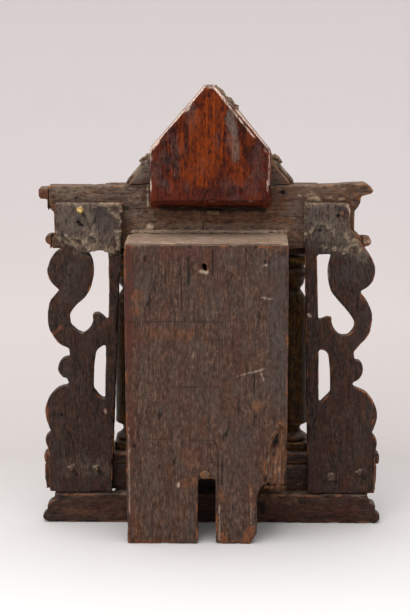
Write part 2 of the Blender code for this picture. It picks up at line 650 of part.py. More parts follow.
def make_niche_box():
    """Two sides, a top and a floor between the back board and the frame: an empty niche."""
    y_range = (BOARD_FRONT_Y + GAP, FRAME_Y - GAP)
    roof_z = BOX_TOP_Z - BOX_WALL
    side_z = (BOX_SIDE_FOOT_Z, roof_z - GAP)
    left_in = -BOX_LEFT + BOX_WALL
    right_in = BOX_RIGHT - BOX_WALL
    block("niche_side_left", (-BOX_LEFT, left_in), y_range, side_z, WOOD_DARK)
    block("niche_side_right", (right_in, BOX_RIGHT), y_range, side_z, WOOD_DARK)
    block("niche_top", (-BOX_LEFT, BOX_RIGHT), y_range, (roof_z, BOX_TOP_Z), WOOD_GREY)
    block("niche_floor", (left_in + GAP, right_in - GAP), y_range, (NICHE_FLOOR_Z - BOX_WALL, NICHE_FLOOR_Z),
          WOOD_DARK)


def make_arch():
    """The front board with its arched opening, and the thin band round it."""
    z_low = BASE_TOP_Z + GAP
    z_high = ENTABLATURE_Z - GAP
    half = ARCH_BOARD_HALF_WIDTH
    outer = corners([(-half, z_low), (half, z_low), (half, z_high), (-half, z_high)])
    opening = [(ARCH_RADIUS, SILL_Z)] + arc(0.0, ARCH_SPRING_Z, ARCH_RADIUS, 0, 180, 16)
    opening += [(-ARCH_RADIUS, SILL_Z)]
    upright_board("arch_board", [outer, corners(opening)], FRAME_Y + GAP, ARCH_FRONT_Y, WOOD_MID, 40)

    inner_radius = ARCH_RADIUS + ARCHIVOLT_SETBACK
    outer_radius = inner_radius + ARCHIVOLT_WIDTH
    band = [(outer_radius, SILL_Z)] + arc(0.0, ARCH_SPRING_Z, outer_radius, 0, 180, 16)
    band += [(-outer_radius, SILL_Z), (-inner_radius, SILL_Z)]
    band += arc(0.0, ARCH_SPRING_Z, inner_radius, 180, 0, 16)
    band += [(inner_radius, SILL_Z)]
    band_back = ARCH_FRONT_Y + GAP
    upright_board("archivolt", [corners(band)], band_back, band_back + ARCHIVOLT_THICKNESS, GILT, 40)


def column_profile(bottom, top):
    """(radius, height) from the top down: capital, neck, shaft, collar, hollow and foot."""
    shaft = COLUMN_RADIUS
    foot = COLUMN_FOOT_RADIUS
    profile = [(shaft * 0.22, top), (shaft * 0.22, top - 0.0022)]
    profile += [
        (shaft * 0.95, top - 0.0030), (shaft * 1.02, top - 0.0065), (shaft * 0.98, top - 0.0095),
        (shaft * 0.80, top - 0.0120), (shaft * 0.56, top - 0.0143), (shaft * 0.80, top - 0.0165),
    ]
    profile += [(shaft * 0.80 + x, y + top - 0.0210) for x, y in arc(0.0, 0.0, shaft * 0.22, 70, -70, 4)]
    profile += [
        (shaft * 0.74, top - 0.0262), (shaft * 0.70, top - 0.0325), (shaft * 0.44, top - 0.0370),
        (shaft * 0.70, top - 0.0425), (shaft * 0.86, top - 0.0480), (shaft * 0.96, top - 0.060),
        (shaft, top - 0.110), (shaft, bottom + 0.0225), (shaft * 1.01, bottom + 0.0212),
    ]
    collar = 0.0014
    profile += [(foot - collar + x, y + bottom + 0.0192) for x, y in arc(0.0, 0.0, collar, 60, -60, 3)]
    hollow_depth = foot * 0.45
    hollow_height = 0.0117
    for x, y in arc(foot * 0.96, 0.0, hollow_depth, 115, 245, 6):
        profile.append((x, bottom + hollow_height + y * 0.78))
    profile += [(foot - 0.0022 + x, y + bottom + 0.0026) for x, y in arc(0.0, 0.0, 0.0022, 70, -70, 4)]
    profile.append((foot - 0.003, bottom))
    return profile


def make_columns():
    """Two turned columns on square foot blocks, each under a square abacus."""
    y = FRAME_Y + COLUMN_Y
    half = COLUMN_FOOT_RADIUS
    foot_z = (BASE_TOP_Z + GAP, BASE_TOP_Z + COLUMN_FOOT_BLOCK)
    abacus_z = (ENTABLATURE_Z - GAP - ABACUS, ENTABLATURE_Z - GAP)
    profile = column_profile(foot_z[1] + GAP, abacus_z[0] - GAP)
    for side, sign in (("left", -1), ("right", 1)):
        x = sign * COLUMN_X
        x_range = (x - half, x + half)
        y_range = (y - half, y + half)
        block("column_foot_" + side, x_range, y_range, foot_z, GILT)
        block("column_abacus_" + side, x_range, y_range, abacus_z, GILT)
        turned("column_" + side, profile, TURN_STEPS, Matrix.Translation((x, y, 0.0)), GILT)


# Scroll boards, drawn on the grid of steps: out from the inner edge, up from the foot, smooth or not
SCROLL_LEFT_OUTER = (
    (3.5, 250, 0), (0, 300, 0), (68, 300, 0), (67, 262, 0), (62, 255, 0), (69, 250, 1), (76.4, 237, 1),
    (77, 228, 1), (73, 219, 1), (65.5, 212, 0), (70, 207, 1), (75, 201, 1), (77.8, 187, 1), (76.5, 172, 1),
    (71, 162, 1), (65.5, 156, 1), (57, 152, 0), (56.5, 143, 0), (62, 142.5, 1), (68.8, 132, 1),
    (65, 122.5, 1), (59.5, 121, 0), (58, 115, 0), (71.5, 109, 1), (81, 95, 1), (82.6, 85, 1),
    (78.5, 68, 1), (77, 65, 0), (83, 59, 1), (80.5, 46, 0), (80.5, 0, 0), (15.5, 0, 0),
)
SCROLL_LEFT_COMMA = (
    (36.7, 252, 0), (16, 252, 0), (16, 202, 0), (17, 180, 0), (22, 185.5, 1), (28, 189, 1), (32.8, 186.5, 1),
    (32.2, 181, 0), (34.5, 175.5, 1), (39, 170.5, 1), (43.5, 168.5, 1), (51, 173, 1), (55.5, 184, 1),
    (50.5, 194, 1), (37.5, 207, 1), (32, 220, 1), (30.5, 234, 1), (32.5, 245, 1),
)
SCROLL_LEFT_SLOT = (
    (19.8, 156.5, 0), (28.3, 150, 1), (30.6, 142, 1), (32.2, 125, 1), (32.8, 110, 0), (23.3, 99.5, 0),
    (21.6, 100, 0),
)
SCROLL_RIGHT_OUTER = (
    (2.8, 162, 0), (0, 300, 0), (46, 300, 0), (46, 275, 0), (51, 269, 0), (53, 265.5, 0), (60, 256.5, 1),
    (69.3, 242, 1), (71.7, 232, 1), (67.2, 218, 1), (57, 211, 0), (65, 199, 1), (69.8, 185, 1), (69, 174, 1),
    (65, 164.5, 1),
    (57.6, 156, 1), (52, 149, 0), (52.3, 140, 0), (57.2, 140, 1), (61.2, 129, 1), (56, 119.5, 1),
    (51.2, 117.5, 0), (51, 113.5, 0), (60.5, 110, 1), (68, 103.5, 1), (76.3, 86, 1), (75.7, 76, 1),
    (71.3, 64, 0), (76, 58, 1), (77, 51, 1), (75.6, 44, 0), (75.6, 0, 0), (6.5, 0, 0),
)
SCROLL_RIGHT_COMMA = (
    (13.7, 248, 0), (27.6, 248.5, 0), (24, 237, 1), (24.8, 221.5, 1), (27.4, 212, 1), (32.6, 203.5, 1),
    (39.7, 196, 1), (47, 187, 1), (51.5, 178, 1), (48.5, 170, 1), (41.5, 166.5, 1), (33, 170.5, 1),
    (29, 179.5, 0), (28.5, 184.8, 1), (22.7, 185.7, 1), (15.8, 180.8, 0),
)
SCROLL_RIGHT_SLOT = (
    (16.5, 152, 0), (24.5, 147.3, 1), (26.8, 138, 1), (28.3, 107, 0), (20, 98, 0), (17.2, 95, 0),
)


def scroll_loop(drawn, sign, inner_x):
    """Carry a drawn loop to its board, stretched to the board's width and height."""
    foot_z = PLINTH_HEIGHT + GAP
    across = SCROLL_WIDTH / DRAWN_STEPS_ACROSS
    up = (SCROLL_TOP_Z - foot_z) / DRAWN_STEPS_UP
    loop = []
    for out, height, smooth in drawn:
        loop.append((sign * (inner_x + out * across), foot_z + height * up, bool(smooth)))
    return loop


def make_scrolls():
    """The two pierced scroll boards nailed on the back of the frame, cut by hand and not alike."""
    boards = (
        ("scroll_left", -1, SCROLL_LEFT_X, (SCROLL_LEFT_OUTER, SCROLL_LEFT_COMMA, SCROLL_LEFT_SLOT)),
        ("scroll_right", 1, SCROLL_RIGHT_X, (SCROLL_RIGHT_OUTER, SCROLL_RIGHT_COMMA, SCROLL_RIGHT_SLOT)),
    )
    for name, sign, inner_x, drawn_loops in boards:
        loops = [scroll_loop(drawn, sign, inner_x) for drawn in drawn_loops]
        upright_board(name, loops, SCROLL_BACK_Y, FRAME_Y - GAP, WOOD_DARK, 40)


def make_peg(name, x, z, face_y, radius, height, material):
    """A round peg or nail head standing out of a face that looks back."""
    profile = [(radius * 0.55, height), (radius * 0.86, height * 0.8), (radius, height * 0.35)]
    profile.append((radius * 0.96, 0.0))
    facing = Matrix.Rotation(math.radians(90), 4, "X")
    return turned(name, profile, PEG_STEPS, Matrix.Translation((x, face_y - GAP, z)) @ facing, material)


def make_fixings():
    """Pegs and nails that show on the back, each at its place on the board it is in."""
    left = -SCROLL_LEFT_X
    right = SCROLL_RIGHT_X
    low = PLINTH_HEIGHT
    high = SCROLL_TOP_Z
    face = SCROLL_BACK_Y
    make_peg("peg_board", -0.0051, SLOT_HEIGHT + 0.0052, BOARD_BACK_Y, BIG_PEG_RADIUS, HEAD_HEIGHT, WOOD_PALE)
    make_peg("nail_left_top", left - 0.0429, high - 0.0066, face, NAIL_RADIUS, HEAD_HEIGHT, BRASS)
    make_peg("peg_left_outer", left - 0.0564, low + 0.0264, face, PEG_RADIUS, PEG_HEIGHT, WOOD_PALE)
    make_peg("peg_left_inner", left - 0.0306, low + 0.0265, face, PEG_RADIUS, PEG_HEIGHT, WOOD_PALE)
    make_peg("nail_right_top", right + 0.0371, high - 0.0100, face, SMALL_NAIL_RADIUS, HEAD_HEIGHT, IRON)
    make_peg("peg_right_low", right + 0.0593, low + 0.0224, face, PEG_RADIUS, HEAD_HEIGHT, WOOD_PALE)
    half = SQUARE_NAIL / 2
    nail_x = right + 0.0308
    nail_z = low + 0.0185
    block("nail_right_square", (nail_x - half, nail_x + half), (face - HEAD_HEIGHT, face - GAP),
          (nail_z - half, nail_z + half), IRON)

    # Bent nails lie on the frame's back between the box and the right scroll board
    bends = {
        "bent_nail_upper": (right - 0.0120, low + 0.0265, ((0, 0), (3.0, -1.0), (5.0, -4.5), (4.5, -7.5))),
        "bent_nail_lower": (right - 0.0050, low + 0.0075, ((0, 0), (3.0, -1.0), (5.5, -0.5), (7.0, 2.5))),
    }
    step = BENT_NAIL_RADIUS / 0.7
    for name, (start_x, start_z, points) in bends.items():
        data = bpy.data.curves.new(name, "CURVE")
        data.dimensions = "3D"
        data.bevel_depth = BENT_NAIL_RADIUS
        data.bevel_resolution = 1
        data.use_fill_caps = True
        spline = data.splines.new("POLY")
        spline.points.add(len(points) - 1)
        for knot, (across, up) in zip(spline.points, points):
            knot.co = (start_x + across * step, FRAME_Y - GAP - BENT_NAIL_RADIUS, start_z + up * step, 1.0)
        nail = bpy.data.objects.new(name, data)
        data.materials.append(IRON)
        ORATORY.objects.link(nail)


def make_frieze_tablets():
    """A small raised tablet on the frieze over each column."""
    half = COLUMN_RADIUS * 0.8
    y_range = (BAY_FRONT_Y + GAP, BAY_FRONT_Y + GAP + TABLET_THICKNESS)
    z_low = ENTABLATURE_Z + BEAD_HEIGHT + FRIEZE_MARGIN
    z_high = CORNICE_TOP_Z - CORNICE_HEIGHT - FRIEZE_MARGIN
    for side, sign in (("left", -1), ("right", 1)):
        x = sign * COLUMN_X
        block("frieze_tablet_" + side, (x - half, x + half), y_range, (z_low, z_high), GILT)


clear_scene()
ORATORY = make_collection("devotional_oratory")
CUTTERS = make_collection("cutters")
WOOD_DARK = make_material("dark_walnut", "#3a2e2a", 0.72)
WOOD_MID = make_material("worn_walnut", "#4a3c34", 0.70)
WOOD_LIGHT = make_material("rubbed_walnut", "#5c4a3a", 0.68)
WOOD_GREY = make_material("dusty_walnut", "#8a7a6c", 0.80)
WOOD_RED = make_material("varnished_red_wood", "#6a2c16", 0.42)
WOOD_PALE = make_material("peg_wood", "#a8876a", 0.70)
GILT = make_material("worn_gilding", "#7a5c26", 0.45, 0.6)
BRASS = make_material("brass_nail", "#d8c27a", 0.35, 0.9)
IRON = make_material("iron_nail", "#4a4440", 0.60, 0.8)

make_plinth()
make_base()
make_entablature()
make_frieze_tablets()
make_pediment()
make_block()
make_back_board()
make_niche_box()
make_arch()
make_columns()
make_scrolls()
make_fixings()
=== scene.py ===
# %% [markdown]
# # An old house altar, seen from behind
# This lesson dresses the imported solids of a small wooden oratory: planks, pierced scroll boards, a box for
# the niche and a varnished block. It first loads the solids, which fix every size and place. Then each board
# gets a worn copy of itself, and each copy gets a wood that fits it.

import math

import bpy
import numpy as np
from mathutils import Matrix, Vector


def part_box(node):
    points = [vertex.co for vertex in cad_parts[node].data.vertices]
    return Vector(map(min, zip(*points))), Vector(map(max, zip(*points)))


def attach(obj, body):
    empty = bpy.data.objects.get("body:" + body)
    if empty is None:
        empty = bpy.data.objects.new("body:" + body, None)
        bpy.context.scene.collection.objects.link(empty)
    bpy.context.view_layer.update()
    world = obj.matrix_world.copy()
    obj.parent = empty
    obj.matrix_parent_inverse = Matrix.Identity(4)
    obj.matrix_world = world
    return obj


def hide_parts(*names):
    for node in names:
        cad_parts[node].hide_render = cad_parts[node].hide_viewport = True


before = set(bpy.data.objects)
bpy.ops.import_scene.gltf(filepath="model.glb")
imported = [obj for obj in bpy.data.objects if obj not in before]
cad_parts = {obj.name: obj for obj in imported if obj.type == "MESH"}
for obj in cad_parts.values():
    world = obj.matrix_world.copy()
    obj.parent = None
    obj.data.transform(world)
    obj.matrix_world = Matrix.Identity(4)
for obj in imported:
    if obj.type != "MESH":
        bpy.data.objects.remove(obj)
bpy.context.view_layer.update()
MM = 0.001
print("solids:", len(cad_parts))

# %% [markdown]
# ## Helpers for working as by hand
# An operator acts on whatever is selected, so every step starts with nothing selected. A worn board could be
# drawn anew, but its outline is already right in the solid, so each one starts as a merged copy of its solid.


# %% Selecting, copying and applying modifiers
def select_only(piece):
    """Leave one object selected and active."""
    bpy.ops.object.select_all(action="DESELECT")
    piece.select_set(True)
    bpy.context.view_layer.objects.active = piece


def finish_modifier(piece, kind, **settings):
    """Add a modifier, set it and apply it."""
    select_only(piece)
    bpy.ops.object.modifier_add(type=kind)
    modifier = piece.modifiers[-1]
    for name, value in settings.items():
        setattr(modifier, name, value)
    bpy.ops.object.modifier_apply(modifier=modifier.name)


def merged_copy(name, node):
    """A new object with a solid's shape, its loose triangles merged into whole faces."""
    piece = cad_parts[node].copy()
    piece.data = piece.data.copy()
    piece.parent = None
    for key in list(piece.keys()):
        del piece[key]
    bpy.context.scene.collection.objects.link(piece)
    piece.name = name
    piece.data.name = name
    select_only(piece)
    bpy.ops.object.mode_set(mode="EDIT")
    bpy.ops.mesh.select_all(action="SELECT")
    bpy.ops.mesh.remove_doubles(threshold=0.00001)
    bpy.ops.mesh.dissolve_limited(angle_limit=math.radians(1))
    bpy.ops.mesh.select_all(action="DESELECT")
    bpy.ops.object.mode_set(mode="OBJECT")
    piece.data.materials.clear()
    return piece


# %% [markdown]
# ## Random numbers that always come out the same
# Wear isn't regular, but the lesson has to give the same result each time. A noise made of whole numbers that
# are mixed up in a fixed way gives both. Its grains can be stretched, which is what wood fibres need.


# %% Noise for wear and fibres
def lattice(whole, seed):
    """A fixed random number from -1 to 1 for each whole-numbered point."""
    mixed = whole[:, 0] * 374761393 + whole[:, 1] * 668265263 + whole[:, 2] * 1440662683 + seed * 974634777
    mixed &= 0xFFFFFFFF
    mixed = ((mixed ^ (mixed >> 13)) * 1274126177) & 0xFFFFFFFF
    mixed ^= mixed >> 16
    return mixed / 0x7FFFFFFF - 1.0


def noise(places, size, seed=0):
    """Smooth noise from about -1 to 1, with grains of the given size along x, y and z."""
    scaled = places / np.array(size, float)
    base = np.floor(scaled)
    part = scaled - base
    part = part * part * (3 - 2 * part)
    base = base.astype(np.int64)
    total = np.zeros(len(places))
    for corner in range(8):
        step = np.array([corner & 1, corner >> 1 & 1, corner >> 2 & 1])
        weight = np.prod(np.where(step, part, 1 - part), axis=1)
        total += weight * lattice(base + step, seed)
    return total


def smoothstep(low, high, values):
    """0 below low, 1 above high, and a soft ramp between them."""
    share = np.clip((values - low) / (high - low), 0, 1)
    return share * share * (3 - 2 * share)


# %% Reading and writing a mesh as arrays
def read_mesh(piece):
    """Places, normals and edges of a mesh."""
    mesh = piece.data
    places = np.empty(len(mesh.vertices) * 3, np.float32)
    mesh.vertices.foreach_get("co", places)
    normals = np.empty(len(mesh.vertices) * 3, np.float32)
    mesh.vertex_normals.foreach_get("vector", normals)
    edges = np.empty(len(mesh.edges) * 2, np.int32)
    mesh.edges.foreach_get("vertices", edges)
    return places.reshape(-1, 3).astype(float), normals.reshape(-1, 3).astype(float), edges.reshape(-1, 2)


def write_places(piece, places):
    """Move a mesh's points to new places."""
    piece.data.vertices.foreach_set("co", places.astype(np.float32).ravel())
    piece.data.update()


def write_layer(piece, name, values):
    """Keep one number for each point, for the material to read."""
    layer = piece.data.attributes.get(name) or piece.data.attributes.new(name, "FLOAT", "POINT")
    layer.data.foreach_set("value", np.clip(values, 0, 1).astype(np.float32))


def neighbours(edges, values):
    """The mean of each point's neighbours."""
    count = len(values)
    one, two = edges.T
    total = np.bincount(one, values[two], count) + np.bincount(two, values[one], count)
    return total / np.maximum(np.bincount(one, minlength=count) + np.bincount(two, minlength=count), 1)


def spread(edges, values, rounds):
    """Blur numbers over the surface."""
    for _ in range(rounds):
        values = (values + neighbours(edges, values)) / 2
    return values


def bulge(places, normals, edges):
    """How far each point stands out from its neighbours, along its normal."""
    middle = np.column_stack([neighbours(edges, places[:, axis]) for axis in range(3)])
    return ((places - middle) * normals).sum(axis=1)


# %% [markdown]
# ## Ageing a board
# An old board is worn round at its edges, has lost small chips, and its soft summer wood has sunk between the
# hard lines. A bump texture can't change the outline, so the copy is given an even skin of small faces with a
# voxel remesh, and each point then sinks by the noise. All of it goes inwards, because wear only takes away.

# %% Sizes of the wear
FIBRE = 1.9 * MM
FIBRE_LENGTH = 26 * MM
FIBRE_DEPTH = 0.26 * MM
RING = 6 * MM
RING_LENGTH = 80 * MM
RING_DEPTH = 0.20 * MM
VEIN = 5 * MM
VEIN_LENGTH = 70 * MM
TORN_PATCH = 12 * MM
TORN_PATCH_LENGTH = 40 * MM
CRACK_DEPTH = 0.5 * MM
CHIP = 9 * MM
CHIP_DEPTH = 1.3 * MM
NIBBLE = 2.5 * MM
EDGE_WEAR = 0.55 * MM
RUB = 13 * MM
DUST_PATCH = 5 * MM
# A bulge or hollow of this share of the skin's face size counts as a full edge or groove
EDGE_BULGE = 0.09
GROOVE_BULGE = 0.10


def along(grain, across, length):
    """Sizes along x, y and z of something stretched along the grain."""
    return [length if axis == grain else across for axis in "xyz"]


def age(piece, grain, skin, seed, edge_round=0.8 * MM, chips=1.0, rough=1.0, smooth=0):
    """Round, chip and weather a board, and keep what the wear left for the material."""
    finish_modifier(piece, "BEVEL", width=edge_round, segments=2, limit_method="ANGLE",
                    angle_limit=math.radians(35), use_clamp_overlap=True)
    finish_modifier(piece, "REMESH", mode="VOXEL", voxel_size=skin, use_smooth_shade=True)
    if smooth:
        finish_modifier(piece, "SMOOTH", factor=0.5, iterations=smooth)
    places, normals, edges = read_mesh(piece)
    edge_wear_and_highlight = np.clip(spread(edges, bulge(places, normals, edges), 2) / (EDGE_BULGE * skin), 0, 1)
    wide_edge = np.clip(spread(edges, edge_wear_and_highlight, 10) * 2.2, 0, 1)
    fibres = noise(places, along(grain, FIBRE, FIBRE_LENGTH), seed)
    rings = noise(places, along(grain, RING, RING_LENGTH), seed + 1)
    veins = np.abs(noise(places, along(grain, VEIN, VEIN_LENGTH), seed + 2))
    torn = smoothstep(0.25, 0.65, noise(places, along(grain, TORN_PATCH, TORN_PATCH_LENGTH), seed + 3))
    cracks = smoothstep(0.05, 0.0, veins) * torn
    chipped = smoothstep(0.15, 0.6, noise(places, (CHIP,) * 3, seed + 4)) * wide_edge
    nibbled = (0.5 + 0.5 * noise(places, (NIBBLE,) * 3, seed + 5)) * edge_wear_and_highlight
    sunk = rough * FIBRE_DEPTH * (0.5 - 0.5 * fibres)
    sunk += rough * RING_DEPTH * (0.5 - 0.5 * rings)
    sunk += rough * CRACK_DEPTH * cracks
    sunk += chips * (CHIP_DEPTH * chipped + EDGE_WEAR * nibbled)
    write_places(piece, places - normals * sunk[:, None])
    places, normals, edges = read_mesh(piece)
    after = bulge(places, normals, edges)
    rubbed = edge_wear_and_highlight * smoothstep(-0.15, 0.45, noise(places, (RUB,) * 3, seed + 6)) + 0.5 * chipped
    write_layer(piece, "edge_wear_and_highlight", rubbed)
    # Hollows and cracks are kept for the material as dirt, together with painted shade in the hollows.
    write_layer(piece, "groove_dirt_and_shade", spread(edges, np.clip(-after / (GROOVE_BULGE * skin), 0, 1), 1) + cracks * 0.8)
    lying = smoothstep(0.45, 0.9, normals[:, 2]) * (0.6 + 0.5 * noise(places, (DUST_PATCH,) * 3, seed + 7))
    write_layer(piece, "dust", lying)
    print(piece.name, len(piece.data.polygons), "faces")


# %% [markdown]
# ## Marks that belong to one place
# Much of an old board's look is local: a crust of glue, a rubbed edge, a wormhole. Each mark is drawn as by a
# brush, as a short stroke from one point to another with a radius, in millimetres across and up the back.


# %% Strokes and paint
BRISTLE = (5 * MM, 5 * MM, 8 * MM)
FINE_BRISTLE = (1.7 * MM, 1.7 * MM, 4 * MM)


def stroke_share(places, strokes, soft, ragged):
    """How much of each point the strokes (x1, z1, x2, z2, radius, strength) cover."""
    share = np.zeros(len(places))
    x, z = places[:, 0] / MM, places[:, 2] / MM
    for x1, z1, x2, z2, radius, strength in strokes:
        run, rise = x2 - x1, z2 - z1
        part = np.clip(((x - x1) * run + (z - z1) * rise) / max(run * run + rise * rise, 1e-9), 0, 1)
        far = np.hypot(x - x1 - part * run, z - z1 - part * rise) / radius
        share = np.maximum(share, smoothstep(1.0 + soft, 1.0 - soft, far + ragged) * strength)
    return share


def mark(piece, layer_name, strokes, seed=0, soft=0.35, ragged=1.0, facing=-1):
    """Paint strokes on the side that faces back, or all round with facing 0."""
    places, normals, edges = read_mesh(piece)
    values = np.zeros(len(places), np.float32)
    painted = piece.data.attributes.get(layer_name)
    if painted:
        painted.data.foreach_get("value", values)
    rough = 0.45 * noise(places, BRISTLE, seed) + 0.3 * noise(places, FINE_BRISTLE, seed + 1)
    side = smoothstep(-0.2, 0.2, normals[:, 1] * facing) if facing else 1.0
    share = stroke_share(places, strokes, soft, ragged * rough) * side
    write_layer(piece, layer_name, np.maximum(values, share))


# %% Crusts, tears and holes
GLUE_LUMP = 3.4 * MM
GLUE_CRUMB = 1.5 * MM


def swell(piece, strokes, height, seed=0, grain=2.4 * MM):
    """Raise rough lumps, such as old glue, on the side that faces back. A height below 0 digs them."""
    places, normals, edges = read_mesh(piece)
    lumps = 0.55 + 0.6 * noise(places, (grain,) * 3, seed) + 0.35 * noise(places, (grain / 2,) * 3, seed + 1)
    rise = stroke_share(places, strokes, 0.4, 0.0) * smoothstep(-0.2, -0.7, normals[:, 1])
    write_places(piece, places + normals * (rise * np.clip(lumps, 0, 1.4) * height)[:, None])


def crust(piece, strokes, height, seed):
    """Raise a broken crust of old glue and dirt, in lumps of 1 to 4 mm that thin out away from each stroke."""
    places, normals, edges = read_mesh(piece)
    lumps = noise(places, (GLUE_LUMP,) * 3, seed) + 0.7 * noise(places, (GLUE_CRUMB,) * 3, seed + 1)
    near = stroke_share(places, strokes, 0.9, 0.0) * smoothstep(-0.2, -0.7, normals[:, 1])
    share = smoothstep(0.05, 0.75, near + 0.6 * lumps - 0.3) * smoothstep(0.0, 0.15, near)
    write_places(piece, places + normals * (share * (0.7 + 0.5 * lumps) * height)[:, None])
    write_layer(piece, "glue", share * (0.62 + 0.38 * noise(places, (2.2 * MM,) * 3, seed + 2)))


def pit(piece, holes, depth):
    """Sink nail holes and wormholes as pits, darkened with painted shade: (x, z, radius), in millimetres."""
    strokes = [(x, z, x, z, radius, 1) for x, z, radius in holes]
    swell(piece, strokes, -depth, grain=20 * MM)
    mark(piece, "dark", strokes, ragged=0.0)


def centre(name):
    """The middle of a solid, in millimetres across and up the back."""
    low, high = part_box(name)
    return (low.x + high.x) / 2 / MM, (low.z + high.z) / 2 / MM


def seat(piece, seed, *names):
    """Give each peg or nail in a board a rough rim of splinters with a pale painted highlight on top, and a
    painted shadow at its lower right.
    """
    for name in names:
        x, z = centre(name)
        swell(piece, ((x - 2.6, z + 1.8, x + 0.5, z + 3.0, 2.2, 1),), 1.3 * MM, seed)
        mark(piece, "pale", ((x - 2.8, z + 1.8, x + 0.8, z + 3.2, 1.5, 0.5),), seed)
        mark(piece, "dark", ((x + 2.0, z - 2.6, x + 4.4, z - 6.4, 1.9, 0.75),), seed + 1, ragged=0.5)


def tear(piece, strokes, depth, seed=0, width=1.5 * MM, length=16 * MM):
    """Tear out upright fibres to a depth on the side that faces back."""
    places, normals, edges = read_mesh(piece)
    fibres = 0.5 + 0.5 * noise(places, (width, width, length), seed)
    sunk = stroke_share(places, strokes, 0.3, 0.0) * smoothstep(-0.2, -0.7, normals[:, 1])
    write_places(piece, places - normals * (sunk * fibres * depth)[:, None])


def bore(piece, face_y, holes):
    """Cut nail holes and wormholes into a back face: (x, z, half width, half height, depth), in millimetres."""
    for x, z, half_width, half_height, depth in holes:
        bpy.ops.object.select_all(action="DESELECT")
        bpy.ops.mesh.primitive_cylinder_add(vertices=9, radius=1.0, depth=2.0,
                                            location=(x * MM, face_y, z * MM),
                                            rotation=(math.radians(90), 0, 0),
                                            scale=(half_width * MM, half_height * MM, depth * MM))
        drill = bpy.context.active_object
        bpy.ops.object.transform_apply(location=True, rotation=True, scale=True)
        finish_modifier(piece, "BOOLEAN", operation="DIFFERENCE", object=drill, solver="EXACT")
        bpy.data.objects.remove(drill, do_unlink=True)


# %% [markdown]
# ## Woods
# One recipe serves for all the old wood: fibres, growth rings, blotches and dirt, each at its real size. The
# layers that the ageing kept tell it where the edges are bare, and where dirt and painted shade lie in the
# hollows.


# %% Colours and nodes
MIX_COLOURS = {"data_type": "RGBA"}
TIMES = {"operation": "MULTIPLY"}
TIMES_PLUS = {"operation": "MULTIPLY_ADD"}


def colour(hex_colour):
    """An sRGB hex colour as linear light."""
    channels = [int(hex_colour[i:i + 2], 16) / 255 for i in (1, 3, 5)]
    return [c / 12.92 if c <= 0.04045 else ((c + 0.055) / 1.055) ** 2.4 for c in channels] + [1.0]


def add(owner, kind, settings=None, out=0, **links):
    """Add a node with its settings, link or set its sockets, and return one of its outputs.

    A socket goes by its name, or by i and its number. "stops" are the places and shades of a colour ramp.
    """
    tree = owner.node_tree
    node = tree.nodes.new("ShaderNode" + kind)
    settings = dict(settings or {})
    stops = settings.pop("stops", ())
    if stops:
        elements = node.color_ramp.elements
        while len(elements) < len(stops):
            elements.new(0.5)
        for element, (place, shade) in zip(elements, stops):
            element.position = place
            element.color = colour(shade) if isinstance(shade, str) else (shade, shade, shade, 1.0)
    for name, value in settings.items():
        setattr(node, name, value)
    for name, value in links.items():
        socket = node.inputs[int(name[1:]) if name[1:].isdigit() else name.replace("_", " ")]
        if isinstance(value, bpy.types.NodeSocket):
            tree.links.new(value, socket)
        else:
            socket.default_value = colour(value) if isinstance(value, str) else value
    return node.outputs[out]


# %% Patterns and stains of old wood
# Name, width and length of the cells in millimetres, detail, roughness and offset
PATTERNS = (("fine", 1.0, 6, 3.0, 0.7, 0.0),
            ("streak", 2.0, 30, 5.0, 0.7, 0.3),
            ("mottle", 4.0, 7, 6.0, 0.75, 0.5),
            ("broad", 20, 55, 3.0, 0.55, 0.7),
            ("warm", 11, 26, 5.0, 0.7, 0.9),
            ("cold", 14, 34, 5.0, 0.7, 1.7),
            ("fleck", 2.2, 4, 3.0, 0.7, 2.1))
SPECKS_PER_METRE = 450.0
WOOD_RELIEF = 1.6 * MM
# Near-black of the hollows and cracks: dirt, and painted shade in the hollows.
DIRT_AND_SHADE = "#0e0806"
# The painted layers and their colours: stains, while "dark" also holds painted shade and "pale" painted
# highlights. Those in the second list cover the fibres too.
STAINS_AND_PAINTED_LIGHT = (("rust", "#7e4a2a"), ("blood", "#501e16"), ("slate", "#48413f"), ("dust", "#796a5d"),
          ("glue", "#9c8872"), ("torn", "#7a5034"), ("glow", "#843503"), ("pale", "#cdbaa4"),
          ("dark", "#060302"))
WHOLE_STAINS_AND_SHADE = ("dark", "glue")


